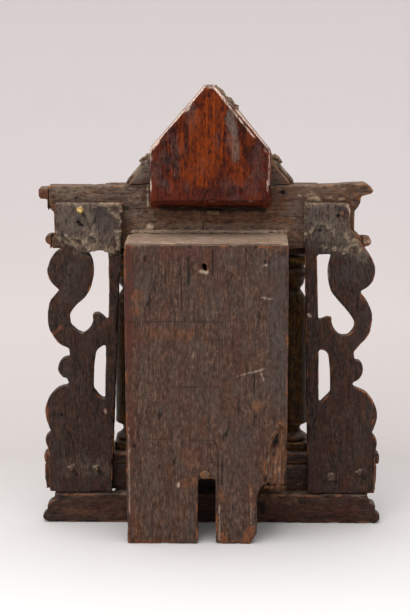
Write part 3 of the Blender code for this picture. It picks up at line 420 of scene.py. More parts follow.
# %% Old wood
def old_wood(name, grain, tones, bare_wood_and_highlight, roughness=(0.5, 0.8), bump=0.7, shift=0.0, coat=0.0,
             hues=(0.5, 0.45, 0.55), specular=0.2, flecks=0.3):
    """Old wood under dull wax and dirt, with hues for how strong its red, orange and grey blotches are."""
    dark, middle, light, red, orange, grey = tones
    material = bpy.data.materials.new(name)
    material.use_nodes = True
    link = material.node_tree.links.new
    shader = material.node_tree.nodes["Principled BSDF"]
    where = add(material, "TexCoord", out="Object")
    pattern = {}
    for key, across, length, detail, rough, offset in PATTERNS:
        start = shift + offset
        place = add(material, "Mapping", Vector=where, Scale=along(grain, 1000.0 / across, 1000.0 / length),
                    Location=(start, start * 0.7, start * 1.3))
        pattern[key] = add(material, "TexNoise", out="Fac", Vector=place, Scale=1.0, Detail=detail,
                           Roughness=rough)
    speck = add(material, "TexNoise", out="Fac", Vector=where, Scale=SPECKS_PER_METRE, Detail=4.0,
                Roughness=0.75)
    fibres = add(material, "Math", TIMES, i0=pattern["mottle"], i1=0.42)
    fibres = add(material, "Math", TIMES_PLUS, i0=pattern["fine"], i1=0.34, i2=fibres)
    fibres = add(material, "Math", TIMES_PLUS, i0=pattern["streak"], i1=0.24, i2=fibres)
    groove_dirt_and_shade = add(material, "Attribute", {"attribute_name": "groove_dirt_and_shade"}, out="Fac")
    broken = add(material, "ValToRGB", {"stops": ((0.38, 0.4), (0.54, 1.0))}, i0=pattern["fine"])
    edge_wear_and_highlight = add(material, "Attribute", {"attribute_name": "edge_wear_and_highlight"}, out="Fac")
    edge_wear_and_highlight = add(material, "Math", TIMES, i0=edge_wear_and_highlight, i1=broken)
    wood = add(material, "ValToRGB", {"stops": ((0.41, dark), (0.5, middle), (0.59, light))}, i0=fibres)
    # Each colour with the value it follows, and where its share starts and ends
    for value, low, high, shade in (
            (pattern["broad"], (0.47, 0.0), (0.60, hues[0]), red),
            (pattern["warm"], (0.51, 0.0), (0.64, hues[1]), orange),
            (pattern["cold"], (0.50, 0.0), (0.63, hues[2]), grey),
            (pattern["fleck"], (0.56, 0.0), (0.68, 0.45), orange),
            (pattern["fleck"], (0.32, flecks), (0.42, 0.0), grey),
            (fibres, (0.40, 0.7), (0.455, 0.0), dark),
            (fibres, (0.535, 0.0), (0.60, 0.75), light),
            (speck, (0.62, 0.0), (0.70, 0.6), light),
            # Hollows take dirt together with painted shade
            (groove_dirt_and_shade, (0.15, 0.0), (0.9, 0.8), DIRT_AND_SHADE),
            (edge_wear_and_highlight, (0.3, 0.0), (0.9, 0.85), bare_wood_and_highlight)):
        share = add(material, "ValToRGB", {"stops": (low, high)}, i0=value)
        wood = add(material, "Mix", MIX_COLOURS, out=2, i0=share, i6=wood, i7=shade)
    broken = add(material, "ValToRGB", {"stops": ((0.44, 0.12), (0.53, 0.9))}, i0=fibres)
    for key, shade in STAINS_AND_PAINTED_LIGHT:
        share = add(material, "Attribute", {"attribute_name": key}, out="Fac")
        if key not in WHOLE_STAINS_AND_SHADE:
            share = add(material, "Math", TIMES, i0=share, i1=broken)
        wood = add(material, "Mix", MIX_COLOURS, out=2, i0=share, i6=wood, i7=shade)
    share = add(material, "ValToRGB", {"stops": ((0.34, flecks), (0.44, 0.0))}, i0=pattern["fleck"])
    wood = add(material, "Mix", MIX_COLOURS, out=2, i0=share, i6=wood, i7=dark)
    link(wood, shader.inputs["Base Color"])
    gloss = {"stops": ((0.35, roughness[0]), (0.65, roughness[1]))}
    gloss = add(material, "ValToRGB", gloss, i0=pattern["warm"])
    link(gloss, shader.inputs["Roughness"])
    height = add(material, "Math", TIMES_PLUS, i0=pattern["fleck"], i1=0.35, i2=fibres)
    height = add(material, "Math", TIMES_PLUS, i0=speck, i1=0.35, i2=height)
    relief = add(material, "Bump", Height=height, Strength=bump, Distance=WOOD_RELIEF)
    link(relief, shader.inputs["Normal"])
    shader.inputs["Coat Weight"].default_value = coat
    shader.inputs["Coat Roughness"].default_value = 0.25
    shader.inputs["Specular IOR Level"].default_value = specular
    return material


# %% The woods of this piece
# The tones are dark, middle, light, red, orange and grey, and then comes the bare wood of rubbed edges; for the
# red block it is the cream of its painted bevel highlights.
# Worn walnut with upright grain: warm brown with dull red and grey blotches.
WALNUT = old_wood("old_walnut_upright", "z",
                  ("#251812", "#453128", "#6b5244", "#46281f", "#5e3c28", "#504740"),
                  "#8a5230", shift=0.13, bump=0.8, hues=(0.4, 0.4, 0.5))
# Darker walnut of the pierced boards, nearly black in its hollows and orange at sawn edges.
SCROLL_WOOD = old_wood("dark_walnut_scrolls", "z",
                       ("#110a08", "#2e1f19", "#51392f", "#341915", "#52301d", "#3b322e"),
                       "#b06a38", shift=0.41, flecks=0.45, bump=1.1)
# The same brown with its grain across, rubbed warm and dull.
CROSS_WOOD = old_wood("old_walnut_across", "x",
                      ("#2a1a12", "#4b3629", "#75594a", "#472a22", "#694427", "#584a42"),
                      "#93643c", shift=0.77, hues=(0.5, 0.6, 0.4), bump=0.55)
# Coarse dark walnut of the base, the least rubbed wood.
BASE_WOOD = old_wood("dark_walnut_across", "x",
                     ("#0d0705", "#2f1e17", "#523b2e", "#361a13", "#492c19", "#322926"),
                     "#7c4c30", shift=0.37)
# Pale tan of the box's top, where old dust has stuck to the wood.
DUSTY_WOOD = old_wood("dusty_walnut", "x",
                      ("#58463c", "#8f7868", "#bca692", "#84614f", "#a27c5c", "#a0948a"),
                      "#d8b890", shift=0.21)
# Waxed golden brown of the turned columns, a little glossier.
COLUMN_WOOD = old_wood("brown_polished_walnut", "z",
                       ("#0a0500", "#2a1704", "#5c3d0c", "#301404", "#5c370a", "#2c1d08"),
                       "#8a6028", shift=0.67, roughness=(0.35, 0.55), coat=0.05, specular=0.1)
# Varnished red wood: orange in the middle, deep red at the rim, with cream painted highlights on the bevels.
RED_WOOD = old_wood("varnished_red_wood", "z",
                    ("#0e0302", "#3f1103", "#702b08", "#330b04", "#782f02", "#331f1a"),
                    "#f0d4c2", roughness=(0.22, 0.42), shift=0.59, coat=0.08, hues=(0.5, 0.5, 0.35),
                    specular=0.08, bump=0.35)
# End grain of the pegs, a lighter brown.
PEG_WOOD = old_wood("peg_wood", "y",
                    ("#2a1a10", "#5e4028", "#94704a", "#5c3020", "#8a5a30", "#5c5044"),
                    "#b08458", shift=0.93)
print("woods ready")

# %% [markdown]
# ## Gilding and metals
# Gold leaf lies on red clay, which shows where it is rubbed, and old dirt and painted shade darken the hollows.
# Brass keeps a yellow shine under brown tarnish. Iron has rusted dark and dull.


# %% Worn gilding, brass and iron
DRY_DUST = "#8c7f72"
METAL_RELIEF = 0.4 * MM


def worn_metal(name, metal, under, dirt_and_shade, metallic, roughness, grain):
    """A metal skin over another colour: rubbed at the edges, dirty and darkened by painted shade in the
    hollows, patchy elsewhere.
    """
    material = bpy.data.materials.new(name)
    material.use_nodes = True
    link = material.node_tree.links.new
    shader = material.node_tree.nodes["Principled BSDF"]
    where = add(material, "TexCoord", out="Object")
    patch = add(material, "TexNoise", out="Fac", Vector=where, Scale=1 / grain, Detail=6.0, Roughness=0.7)
    fine = add(material, "TexNoise", out="Fac", Vector=where, Scale=6 / grain, Detail=3.0, Roughness=0.6)
    edge_wear_and_highlight, groove_dirt_and_shade, dust = [add(material, "Attribute", {"attribute_name": key}, out="Fac")
                          for key in ("edge_wear_and_highlight", "groove_dirt_and_shade", "dust")]
    lost = add(material, "Math", TIMES_PLUS, i0=edge_wear_and_highlight, i1=0.22, i2=patch)
    lost = add(material, "ValToRGB", {"stops": ((0.50, 0.0), (0.60, 1.0))}, i0=lost)
    skin = add(material, "Mix", MIX_COLOURS, out=2, i0=lost, i6=metal, i7=under)
    for value, low, high, shade in (
            (fine, (0.40, 0.5), (0.55, 0.0), dirt_and_shade),
            (groove_dirt_and_shade, (0.1, 0.0), (0.8, 0.85), dirt_and_shade),
            (dust, (0.2, 0.0), (1.0, 0.5), DRY_DUST)):
        share = add(material, "ValToRGB", {"stops": (low, high)}, i0=value)
        skin = add(material, "Mix", MIX_COLOURS, out=2, i0=share, i6=skin, i7=shade)
    link(skin, shader.inputs["Base Color"])
    shine = add(material, "ValToRGB", {"stops": ((0.0, metallic), (1.0, 0.0))}, i0=lost)
    link(shine, shader.inputs["Metallic"])
    gloss = add(material, "ValToRGB", {"stops": ((0.35, roughness), (0.65, roughness + 0.2))}, i0=fine)
    link(gloss, shader.inputs["Roughness"])
    relief = add(material, "Bump", Height=fine, Strength=0.4, Distance=METAL_RELIEF)
    link(relief, shader.inputs["Normal"])
    return material


# Gold leaf, dull yellow, with the red clay under it where it is rubbed away.
GILDING = worn_metal("worn_gilding", "#b98a3a", "#5a2014", "#22160c",
                     metallic=0.85, roughness=0.38, grain=9 * MM)
# Bright yellow metal with brown tarnish.
BRASS = worn_metal("tarnished_brass", "#f2d88c", "#b08c4a", "#4a3414",
                   metallic=0.85, roughness=0.25, grain=3 * MM)
# Dark grey-brown metal with rust, nearly without shine.
IRON = worn_metal("rusty_iron", "#4e4038", "#6e4428", "#170f0b",
                  metallic=0.3, roughness=0.65, grain=2 * MM)
print("metals ready")

# %% [markdown]
# ## The back board
# One tall plank closes the niche and stands on two feet. Its lower right corner has torn away, which left pale
# fibres, and it has nail holes, a knot and rubbed feet. Each hole is cut before the ageing rounds it.


# %% Dressing a solid
def dress(name, node, grain, skin, wood, slot, seed, holes=None, face_y=0.0, **wear):
    """Turn a solid into an aged piece with a wood, and let it stand for the solid."""
    piece = merged_copy(name, node)
    if holes:
        bore(piece, face_y, holes)
    age(piece, grain, skin, seed, **wear)
    piece.data.materials.append(wood)
    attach(piece, "root")
    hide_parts(node)
    return piece


# %% Back board
BOARD_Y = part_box("back_board")[0].y
BOARD_HOLES = ((52.8, 284.0, 1.3, 2.2, 5), (59.4, 288.9, 1.2, 1.8, 5), (-74.2, 100, 1.7, 1.5, 3),
               (-61.5, 286.8, 1.0, 3.0, 3), (64.3, 275.3, 2.0, 1.6, 1.2), (-7.0, 282.2, 1.3, 1.5, 8),
               (-5.0, 279.8, 1.9, 2.6, 12), (-3.9, 276.4, 1.6, 1.9, 12))
board = dress("worn_back_board", "back_board", "z", 1.25 * MM, WALNUT, "worn_walnut", 3,
              holes=BOARD_HOLES, face_y=BOARD_Y)
tear(board, ((67, 92, 67, 62, 8, 1),), 2.6 * MM, seed=5, width=1.2 * MM)
tear(board, ((72, 120, 70, 100, 4, 1),), 2.0 * MM, seed=6)
tear(board, ((60, 180, 68, 130, 9, 0.5), (66, 260, 68, 190, 7, 0.5)), 0.9 * MM, seed=8)
swell(board, (
    (66.2, 110, 65.5, 104, 2.0, 1), (65, 104, 64.6, 99, 2.7, 1),
    (63.6, 101, 62.8, 97, 1.4, 0.8)), -4 * MM, seed=7)
swell(board, ((67, 122, 60.5, 106, 1.4, 1), (60.5, 106, 56, 76, 1.3, 1)), 1.2 * MM, seed=9)
swell(board, ((47.3, 142.9, 47.3, 142.9, 4.5, 0.8),), 0.8 * MM, seed=10)
mark(board, "torn", (
    (67, 94, 66, 62, 8, 0.8), (71, 124, 71, 98, 4, 0.6), (67, 122, 60.5, 106, 1.6, 0.9),
    (60.5, 106, 55, 70, 1.8, 0.9), (47.3, 142.9, 47.3, 142.9, 5, 0.9), (52, 60, 73, 58, 2, 0.6)), 1)
# Painted shade darkens the torn hollow, a nail hole and the gaps between torn fibres, besides one dark spot.
mark(board, "dark", (
    (66.2, 110, 65.5, 104, 1.6, 0.9), (65, 104, 64.6, 99, 2.3, 0.9), (-48.5, 133, -48.5, 131, 2, 0.8),
    (-61.5, 289, -61.5, 284, 0.9, 1), (62.5, 92, 61.5, 72, 0.6, 0.4), (66.5, 86, 66, 64, 0.5, 0.4),
    (70.5, 96, 70.5, 70, 0.6, 0.5), (73.5, 92, 73.5, 66, 0.6, 0.4)), 2, ragged=1.6)
mark(board, "rust", (
    (-70.5, 252.7, -70.5, 250, 5, 0.6), (-72.6, 237, -72, 235, 4, 0.6), (-55, 215, -20, 212, 5, 0.35),
    (11.8, 8.6, 13, 2, 4, 0.9), (39.4, 15, 36, 4, 4, 0.8), (12, 3, 40, 2, 2, 0.8), (-76, 3, -40, 2, 2, 0.55),
    (-70, 25, -72, 4, 3, 0.4), (9, 50, 12, 47, 3, 0.6), (-30, 62, -8, 66, 4, 0.5), (40, 60, 42, 40, 2, 0.5),
    (-20, 90, -20, 86, 9, 0.3)), 3)
mark(board, "blood", (
    (-77.5, 300, -78, 180, 3.5, 0.8), (-78, 180, -78, 20, 3, 0.55), (-40, 295, -10, 292, 12, 0.35),
    (60, 300, 76, 299, 2.5, 0.5)), 4)
mark(board, "slate", (
    (66, 280, 67, 150, 9, 0.75), (-48, 141, -48, 138, 3, 0.6), (-60, 272, -62, 262, 9, 0.5),
    (30, 120, 34, 70, 12, 0.4), (-15, 190, -10, 150, 14, 0.3)), 5)
mark(board, "pale", (
    (-8.2, 275, -2.6, 273.8, 1.3, 0.8), (51.5, 281, 54, 281, 0.8, 0.8), (27.3, 171.9, 40, 175.6, 0.7, 0.4),
    (40, 175, 52.4, 179, 0.8, 0.55), (50, 174, 52, 168, 0.7, 0.5), (50, 249, 60, 248, 0.7, 0.4),
    (-31.4, 62.3, -31, 60, 1.4, 0.7), (-16, 196, -16.6, 178, 0.6, 0.3), (-16.4, 160, -16, 148, 0.5, 0.25),
    (-74, 301.5, 70, 301.5, 1.0, 0.5), (66, 121, 61, 112, 0.8, 0.35), (57, 90, 55, 72, 0.7, 0.3),
    (64.5, 84, 64, 72, 0.5, 0.3), (68.5, 78, 68, 62, 0.5, 0.3), (60.2, 80, 59.5, 68, 0.6, 0.35),
    (9.5, 40, 9.5, 5, 0.7, 0.5), (40.5, 57, 41, 22, 0.6, 0.25), (-79, 120, -79, 30, 0.7, 0.4)), 6)
mark(board, "dark", (
    (-78.5, 225, 14.7, 225.5, 0.7, 0.45), (-40, 160, 10, 161, 0.6, 0.4), (-60, 108, 5, 107, 0.6, 0.4)), 7)

# %% [markdown]
# ## Torn fibres
# Fibres stand out of the tear like a brush. Each is a thin cone, a few millimetres long, in the slant it took.

# %% Splinters
FIBRE_COUNT = 30
# Millimetres across and up the back. The longest fibres hang near TEAR_DEEPEST.
TEAR_LEFT, TEAR_WIDTH, TEAR_TOP, TEAR_DEEPEST = 54.0, 20.0, 59.5, 68
random_order = np.random.default_rng(11)
bpy.ops.object.select_all(action="DESELECT")
fibres = []
for number in range(FIBRE_COUNT):
    x = TEAR_LEFT + TEAR_WIDTH * number / (FIBRE_COUNT - 1) + random_order.uniform(-0.5, 0.5)
    length = random_order.uniform(2.0, 4.5) + 4.5 * max(0.0, 1 - abs(x - TEAR_DEEPEST) / 7)
    lean = random_order.uniform(-0.30, 0.30)
    depth = random_order.uniform(0.2, 2.0)
    thick = random_order.uniform(0.25, 0.6)
    tilt = math.pi + random_order.uniform(-0.25, 0.1)
    bpy.ops.mesh.primitive_cone_add(vertices=5, radius1=thick * MM, radius2=0.06 * MM, depth=length * MM,
                                    rotation=(tilt, lean, 0),
                                    location=(x * MM, BOARD_Y + depth * MM, (TEAR_TOP - length * 0.3) * MM))
    fibres.append(bpy.context.active_object)
for piece in fibres:
    piece.select_set(True)
bpy.ops.object.join()
splinters = bpy.context.active_object
splinters.name = "torn_fibres"
bpy.ops.object.transform_apply(location=True, rotation=True, scale=True)
bpy.ops.object.mode_set(mode="EDIT")
bpy.ops.mesh.select_all(action="SELECT")
bpy.ops.mesh.subdivide(number_cuts=2)
bpy.ops.object.mode_set(mode="OBJECT")
places, normals, edges = read_mesh(splinters)
hanging = smoothstep(60 * MM, 52 * MM, places[:, 2])
places[:, 0] += hanging * 1.3 * MM * noise(places, (3 * MM, 3 * MM, 4 * MM), 12)
places[:, 1] += hanging * 0.8 * MM * noise(places, (3 * MM, 3 * MM, 4 * MM), 13)
write_places(splinters, places + normals * (0.12 * MM * noise(places, (0.8 * MM,) * 3, 14))[:, None])
write_layer(splinters, "torn", np.ones(len(splinters.data.vertices)))
splinters.data.materials.append(WALNUT)
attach(splinters, "root")
print("fibres:", len(fibres))

# %% [markdown]
# ## The red block
# A thick block of red wood, varnished and much handled, backs the pediment. Its varnish has gone orange in the
# middle and grey in patches, and its bevelled edges are rubbed and carry a pinkish cream painted highlight.

# %% Block
block = dress("worn_block", "pediment_block", "z", 1.1 * MM, RED_WOOD, "varnished_red_wood", 20,
              edge_round=1.2 * MM, chips=0.7, rough=0.5)
write_layer(block, "dust", np.zeros(len(block.data.vertices)))
mark(block, "glow", (
    (-5, 405, -6, 366, 16, 0.45), (8, 425, -4, 360, 8, 0.35), (20, 395, 24, 360, 7, 0.3),
    (-19, 414, -19, 368, 1.8, 0.8), (-12, 424, -12, 352, 2.0, 0.9), (-3, 434, -4, 372, 1.8, 0.9),
    (4, 440, 3, 374, 1.6, 1), (12, 421, 11, 372, 1.2, 1), (-7, 384, -7, 352, 3.5, 0.8),
    (-27, 400, -28, 362, 2.2, 0.8), (30, 388, 30, 352, 1.8, 0.6), (-38, 372, -38, 344, 2.0, 0.5)), 21)
mark(block, "dust", ((20.4, 421, 24.6, 378, 3.6, 0.6), (16.5, 418, 17, 384, 0.6, 0.6)), 27, ragged=0.5)
mark(block, "slate", (
    (20.1, 422, 25, 377, 4.4, 1), (-19.4, 424, -18, 408, 5, 0.6), (-45, 353, -43, 349, 6, 0.7),
    (-24.5, 352, -23, 347, 4, 0.5), (-38, 396, -30, 386, 6, 0.5), (-44, 380, -36, 366, 6, 0.5),
    (45, 382, 44, 360, 7, 0.45), (-10, 366, -6, 374, 5, 0.5), (-52, 372, -50, 352, 4, 0.5),
    (6, 400, 7, 388, 3, 0.4), (18, 352, 24, 342, 6, 0.4), (38, 352, 42, 346, 5, 0.4)), 22, soft=0.6, ragged=1.8)
mark(block, "blood", (
    (-48, 340, 50, 338, 11, 0.6), (-52, 380, -52, 340, 8, 0.5), (50, 375, 52, 340, 8, 0.5)), 23)
# Dark mottles and thin lines, and along the lower bevel a band of painted shade.
mark(block, "dark", (
    (-39, 376, -37, 372, 5, 0.45), (38.5, 385, 37, 380, 5, 0.5), (-38.7, 405, -36, 402, 3, 0.4),
    (32, 408, 33, 404, 3, 0.6), (-50, 329, 50, 328.5, 2.2, 0.75), (0, 345, 20, 343, 5, 0.3),
    (-56, 335, -20, 336.2, 0.8, 0.5), (-20, 336.2, 20, 334.6, 0.8, 0.4), (20, 334.6, 54, 336, 0.8, 0.5),
    (-6, 366, -6, 345, 0.7, 0.5)), 24)
# Painted highlight: cream strokes along the lit bevels of the slopes, at the top and down the sides.
mark(block, "edge_wear_and_highlight", (
    (-5, 446.5, -57, 387.5, 1.1, 1), (-5, 447, 4, 447, 0.9, 0.8), (4, 446.5, 20, 430, 0.8, 0.6),
    (27, 423, 56, 388, 1.7, 1), (57.5, 384, 57, 352, 1.0, 0.7), (-35, 364, -34, 357, 0.6, 0.5),
    (-58, 384, -58, 340, 0.6, 0.4)), 25, ragged=0.4)

# %% [markdown]
# ## The scroll boards
# These were sawn and rasped by hand, then nailed and glued on. Glue and dirt have dried into a crust along the
# upper part of each, and the sawn edges have rubbed to bare wood.

# %% Left scroll board
scroll_left = dress("worn_scroll_left", "scroll_left", "z", 1.08 * MM, SCROLL_WOOD, "dark_walnut", 40,
                    edge_round=1.1 * MM)
CRUST_LEFT = (
    (-151, 330.2, -122, 330.2, 1.5, 0.8), (-112, 330, -90, 329.5, 2.4, 0.95), (-89, 327, -90, 306, 2.0, 0.8),
    (-90.5, 304, -90, 286, 3.2, 0.95), (-153, 301, -146, 295, 3.0, 0.8), (-146, 295, -128, 289, 4.6, 0.9),
    (-126, 292, -112, 283, 5.0, 0.95), (-118, 305, -113, 291, 3.2, 0.75), (-113, 288, -96, 283, 4.5, 0.9),
    (-128, 322, -118, 318, 1.8, 0.5), (-100, 324, -93, 318, 2.6, 0.7), (-89, 281, -89, 274, 1.8, 0.8))
crust(scroll_left, CRUST_LEFT, 2.1 * MM, seed=41)
mark(scroll_left, "slate", ((-138, 318, -100, 306, 19, 0.8), (-140, 262, -146, 240, 8, 0.35)), 42)
swell(scroll_left, ((-138, 318, -100, 300, 19, 0.7),), 0.7 * MM, seed=48, grain=3 * MM)
pit(scroll_left, (
    (-131.0, 312.0, 1.8), (-129.0, 309.8, 1.7), (-126.8, 308.6, 1.2), (-141.5, 334.2, 1.3),
    (-151, 114, 1.2)), 3.5 * MM)
mark(scroll_left, "dust", (
    (-140, 318, -124, 300, 15, 0.5), (-128, 286, -96, 298, 8, 0.5), (-150, 330, -90, 330, 3.0, 0.8),
    (-126, 326, -118, 300, 7, 0.7), (-100, 318, -98, 300, 9, 0.3), (-148, 300, -130, 296, 8, 0.3),
    (-141, 60, -110, 58, 10, 0.25)), 44)
mark(scroll_left, "rust", (
    (-154, 328, -154, 296, 1.4, 0.7), (-165.5, 240, -163, 226, 1.2, 0.7), (-166, 120, -166, 92, 1.2, 0.7),
    (-129.8, 277, -126, 276, 1.5, 0.6), (-166, 80, -166, 40, 1.0, 0.6), (-150, 206, -160, 196, 2, 0.5),
    (-110, 205, -100, 212, 3, 0.3), (-107.5, 119.8, -107, 117, 1.6, 0.7)), 45)
mark(scroll_left, "pale", (
    (-107.5, 119.8, -107, 116, 0.9, 0.8), (-90, 280, -90, 262, 0.8, 0.6), (-110, 268, -118, 240, 0.6, 0.5)), 46)
mark(scroll_left, "dark", (
    (-148, 299, -140, 293, 1.3, 0.7), (-138, 296, -128, 293, 1.1, 0.6), (-128, 281, -112, 279, 1.4, 0.7),
    (-124, 316, -119, 306, 1.2, 0.6), (-116, 296, -112, 290, 1.2, 0.6), (-104, 281, -92, 279, 1.3, 0.6),
    (-90, 272, -90, 190, 0.8, 0.5)), 47)
seat(scroll_left, 49, "peg_left_inner", "peg_left_outer", "nail_left_top")

# %% Right scroll board
scroll_right = dress("worn_scroll_right", "scroll_right", "z", 1.08 * MM, SCROLL_WOOD, "dark_walnut", 60,
                     edge_round=1.1 * MM)
CRUST_RIGHT = (
    (94, 330.6, 112, 331, 1.8, 0.9), (118, 331, 133, 331, 1.4, 0.8), (99, 302, 106, 309, 2.8, 0.75),
    (108, 311, 118, 307, 2.6, 0.65), (119, 306, 124, 297, 2.4, 0.65), (134, 299, 146, 290, 3.6, 0.8),
    (138, 290, 150, 283, 3.0, 0.7), (112, 287, 133, 283, 3.0, 0.75), (93.8, 322, 93.8, 312, 1.4, 0.6),
    (94, 300, 96, 288, 2.0, 0.6))
crust(scroll_right, CRUST_RIGHT, 1.5 * MM, seed=61)
mark(scroll_right, "slate", (
    (104, 318, 128, 300, 17, 0.8), (140, 262, 150, 270, 14, 0.5), (104, 290, 130, 284, 9, 0.6)), 62)
swell(scroll_right, ((104, 318, 126, 300, 18, 0.6),), 0.6 * MM, seed=68, grain=3 * MM)
pit(scroll_right, ((108, 304, 1.8), (125.8, 318.5, 1.6)), 2 * MM)
mark(scroll_right, "dust", (
    (104, 318, 126, 302, 16, 0.4), (100, 305, 130, 310, 10, 0.45), (130, 290, 150, 280, 8, 0.45),
    (94, 331, 134, 331, 3.5, 0.8)), 64)
mark(scroll_right, "rust", (
    (137.6, 328, 137.6, 303, 1.7, 1), (163, 258, 160, 246, 1.8, 0.8), (158, 193, 160, 184, 1.2, 0.6),
    (164, 110, 166, 92, 1.1, 0.7), (150, 235, 152, 232, 3, 0.4), (118, 240, 120, 205, 1.2, 0.4)), 65)
mark(scroll_right, "pale", (
    (134.5, 329, 138, 320, 1.0, 0.8), (92.6, 327, 92.6, 292, 0.7, 0.7), (117.4, 268, 116, 240, 0.7, 0.6),
    (116, 238, 128, 205, 0.6, 0.5), (97.5, 219, 99, 217, 1.2, 0.8), (92.5, 215, 92.5, 60, 0.6, 0.35)), 66)
mark(scroll_right, "dark", (
    (101, 300, 104, 308, 1.2, 0.6), (104, 309, 112, 309, 1.2, 0.6), (112, 308, 115, 303, 1.0, 0.5)), 67)
seat(scroll_right, 69, "peg_right_low", "nail_right_square")

# %% [markdown]
# ## The frame
# The wide plank of the entablature carries everything above. It is dusty at its ends and browner in the middle,
# with a painted shadow under the block, and the base planks are dark and coarse.

# %% Entablature plank
PLANK_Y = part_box("entablature_plank")[0].y
plank = dress("worn_entablature_plank", "entablature_plank", "x", 1.15 * MM, CROSS_WOOD, "rubbed_walnut", 80)
GLUE_LINES = (
    (-80, 300.5, 76, 300.5, 1.6, 0.9), (-61, 304.9, -59, 304, 3, 1), (96, 333, 108, 333, 2.6, 0.9),
    (118, 334, 132, 333, 2.0, 0.7), (-86, 333, -70, 338, 3, 0.4), (88, 336, 100, 338, 3, 0.4))
crust(plank, GLUE_LINES, 1.4 * MM, seed=81)
mark(plank, "dust", (
    (-150, 342, -90, 341, 7, 0.7), (-84, 334, -66, 306, 12, 0.6), (90, 340, 130, 342, 6, 0.4),
    (-75, 306, 75, 304, 5, 0.55), (84, 325, 88, 292, 7, 0.4), (-150, 335, -100, 334, 4, 0.6)), 82)
mark(plank, "rust", (
    (-75, 310, 75, 310, 5, 0.4), (-50, 320, 60, 318, 6, 0.4), (92, 338, 130, 336, 5, 0.25),
    (140, 344, 146, 335, 2, 0.4), (86, 300, 88, 290, 3, 0.5), (-157, 325, -156, 320, 3, 0.5)), 83)
mark(plank, "pale", (
    (-62.7, 347, -62.7, 326, 0.8, 0.7), (-61, 305.5, -59, 304.5, 2.2, 1), (-60, 301, 10, 300.8, 0.8, 0.7)), 85)
pit(plank, ((70.5, 339.9, 1.6), (-134, 333.5, 1.0)), 2 * MM)
# The wide band under the block is its painted shadow, and the dark of the peg slot and a nail hole is painted
# shade; the thin stroke at the top is a dark line.
mark(plank, "dark", (
    (-48, 326, 52, 324, 4, 0.85), (-70, 345.6, -48, 345.6, 0.7, 0.6), (-8, 303, -7.5, 309, 1.0, 0.8),
    (70.5, 340, 72, 340, 1.8, 0.9)), 86)

# %% Base and plinth
base_beam = dress("worn_base_beam", "base_beam", "x", 1.5 * MM, BASE_WOOD, "dark_walnut", 100)
# Painted shade: the base beam is darkened where it shows between the feet and in the gap at the lower right.
mark(base_beam, "dark", ((88.8, 82.7, 90, 80, 12, 0.85), (-12, 40, 8, 40, 20, 0.6)), 101)
mark(base_beam, "dust", ((60, 58, 95, 56, 3, 0.3),), 102)
plinth = dress("worn_plinth_plank", "plinth_plank", "x", 1.2 * MM, BASE_WOOD, "worn_walnut", 110)
mark(plinth, "torn", ((52, 27, 86, 25, 5, 0.35), (-150, 12, -90, 8, 3, 0.25)), 111)
mark(plinth, "blood", ((60, 10, 140, 10, 10, 0.35), (-150, 18, -90, 20, 8, 0.25)), 112)
mark(plinth, "dark", ((50, 22, 53, 12, 3, 0.8), (90, 8, 150, 7, 3, 0.4)), 113)
for name, skin, wood, seed in (("base_cap", 1.6, BASE_WOOD, 120), ("plinth_step", 2.2, CROSS_WOOD, 130),
                               ("entablature_beam", 2.2, CROSS_WOOD, 140), ("pedestal", 2.2, CROSS_WOOD, 150),
                               ("pedestal_cap", 1.8, CROSS_WOOD, 160)):
    dress("worn_" + name, name, "x", skin * MM, wood, "worn_walnut", seed)

# %% [markdown]
# ## The niche box
# The box is hollow. Its top is a dusty board with a rough rim of old glue where it meets the plank, and its
# front is a thin board with an arch cut out of it and a gilded moulding round the arch.

# %% Niche boards
dress("worn_niche_top", "niche_top", "x", 1.3 * MM, DUSTY_WOOD, "dusty_walnut", 170)
for name, grain, seed in (("niche_side_left", "z", 180), ("niche_side_right", "z", 190),
                          ("niche_floor", "x", 200)):
    dress("worn_" + name, name, grain, 2.2 * MM, SCROLL_WOOD, "dark_walnut", seed)
dress("worn_arch_board", "arch_board", "z", 2.0 * MM, WALNUT, "worn_walnut", 210)
dress("worn_archivolt", "archivolt", "z", 1.1 * MM, GILDING, "worn_gilding", 220,
      edge_round=0.4 * MM, rough=0.3, chips=0.4)


# %% Lumps of old glue
def glue_lump(name, wood, place, size, tilt, seed, rough=0.9 * MM):
    """A rough lump of old glue and splinters: a block, bevelled, given an even skin and roughened."""
    bpy.ops.object.select_all(action="DESELECT")
    bpy.ops.mesh.primitive_cube_add(size=1, location=place, rotation=(0, tilt, 0), scale=size)
    lump = bpy.context.active_object
    lump.name = name
    bpy.ops.object.transform_apply(location=True, rotation=True, scale=True)
    finish_modifier(lump, "BEVEL", width=0.35 * min(size), segments=2)
    finish_modifier(lump, "REMESH", mode="VOXEL", voxel_size=0.6 * MM, use_smooth_shade=True)
    places, normals, edges = read_mesh(lump)
    bumps = 0.8 * noise(places, (4 * MM, 2 * MM, 2 * MM), seed) - 0.3
    bumps += 0.5 * noise(places, (1.6 * MM,) * 3, seed + 1)
    write_places(lump, places + normals * (bumps * rough)[:, None])
    write_layer(lump, "glue", 0.45 + 0.5 * noise(places, (8 * MM, 3 * MM, 3 * MM), seed + 2))
    lump.data.materials.append(wood)
    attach(lump, "root")
    print(name, len(lump.data.polygons), "faces")


low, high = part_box("niche_top")
glue_lump("glue_rim", DUSTY_WOOD, ((low.x + high.x) / 2, PLANK_Y - 1.6 * MM, high.z + 1.0 * MM),
          (high.x - low.x - 6 * MM, 2.6 * MM, 3.4 * MM), 0.0, 231)

# %% [markdown]
# ## The pediment
# A triangular board stands on the plank with a raking moulding on each slope and a gilded boss on its front.

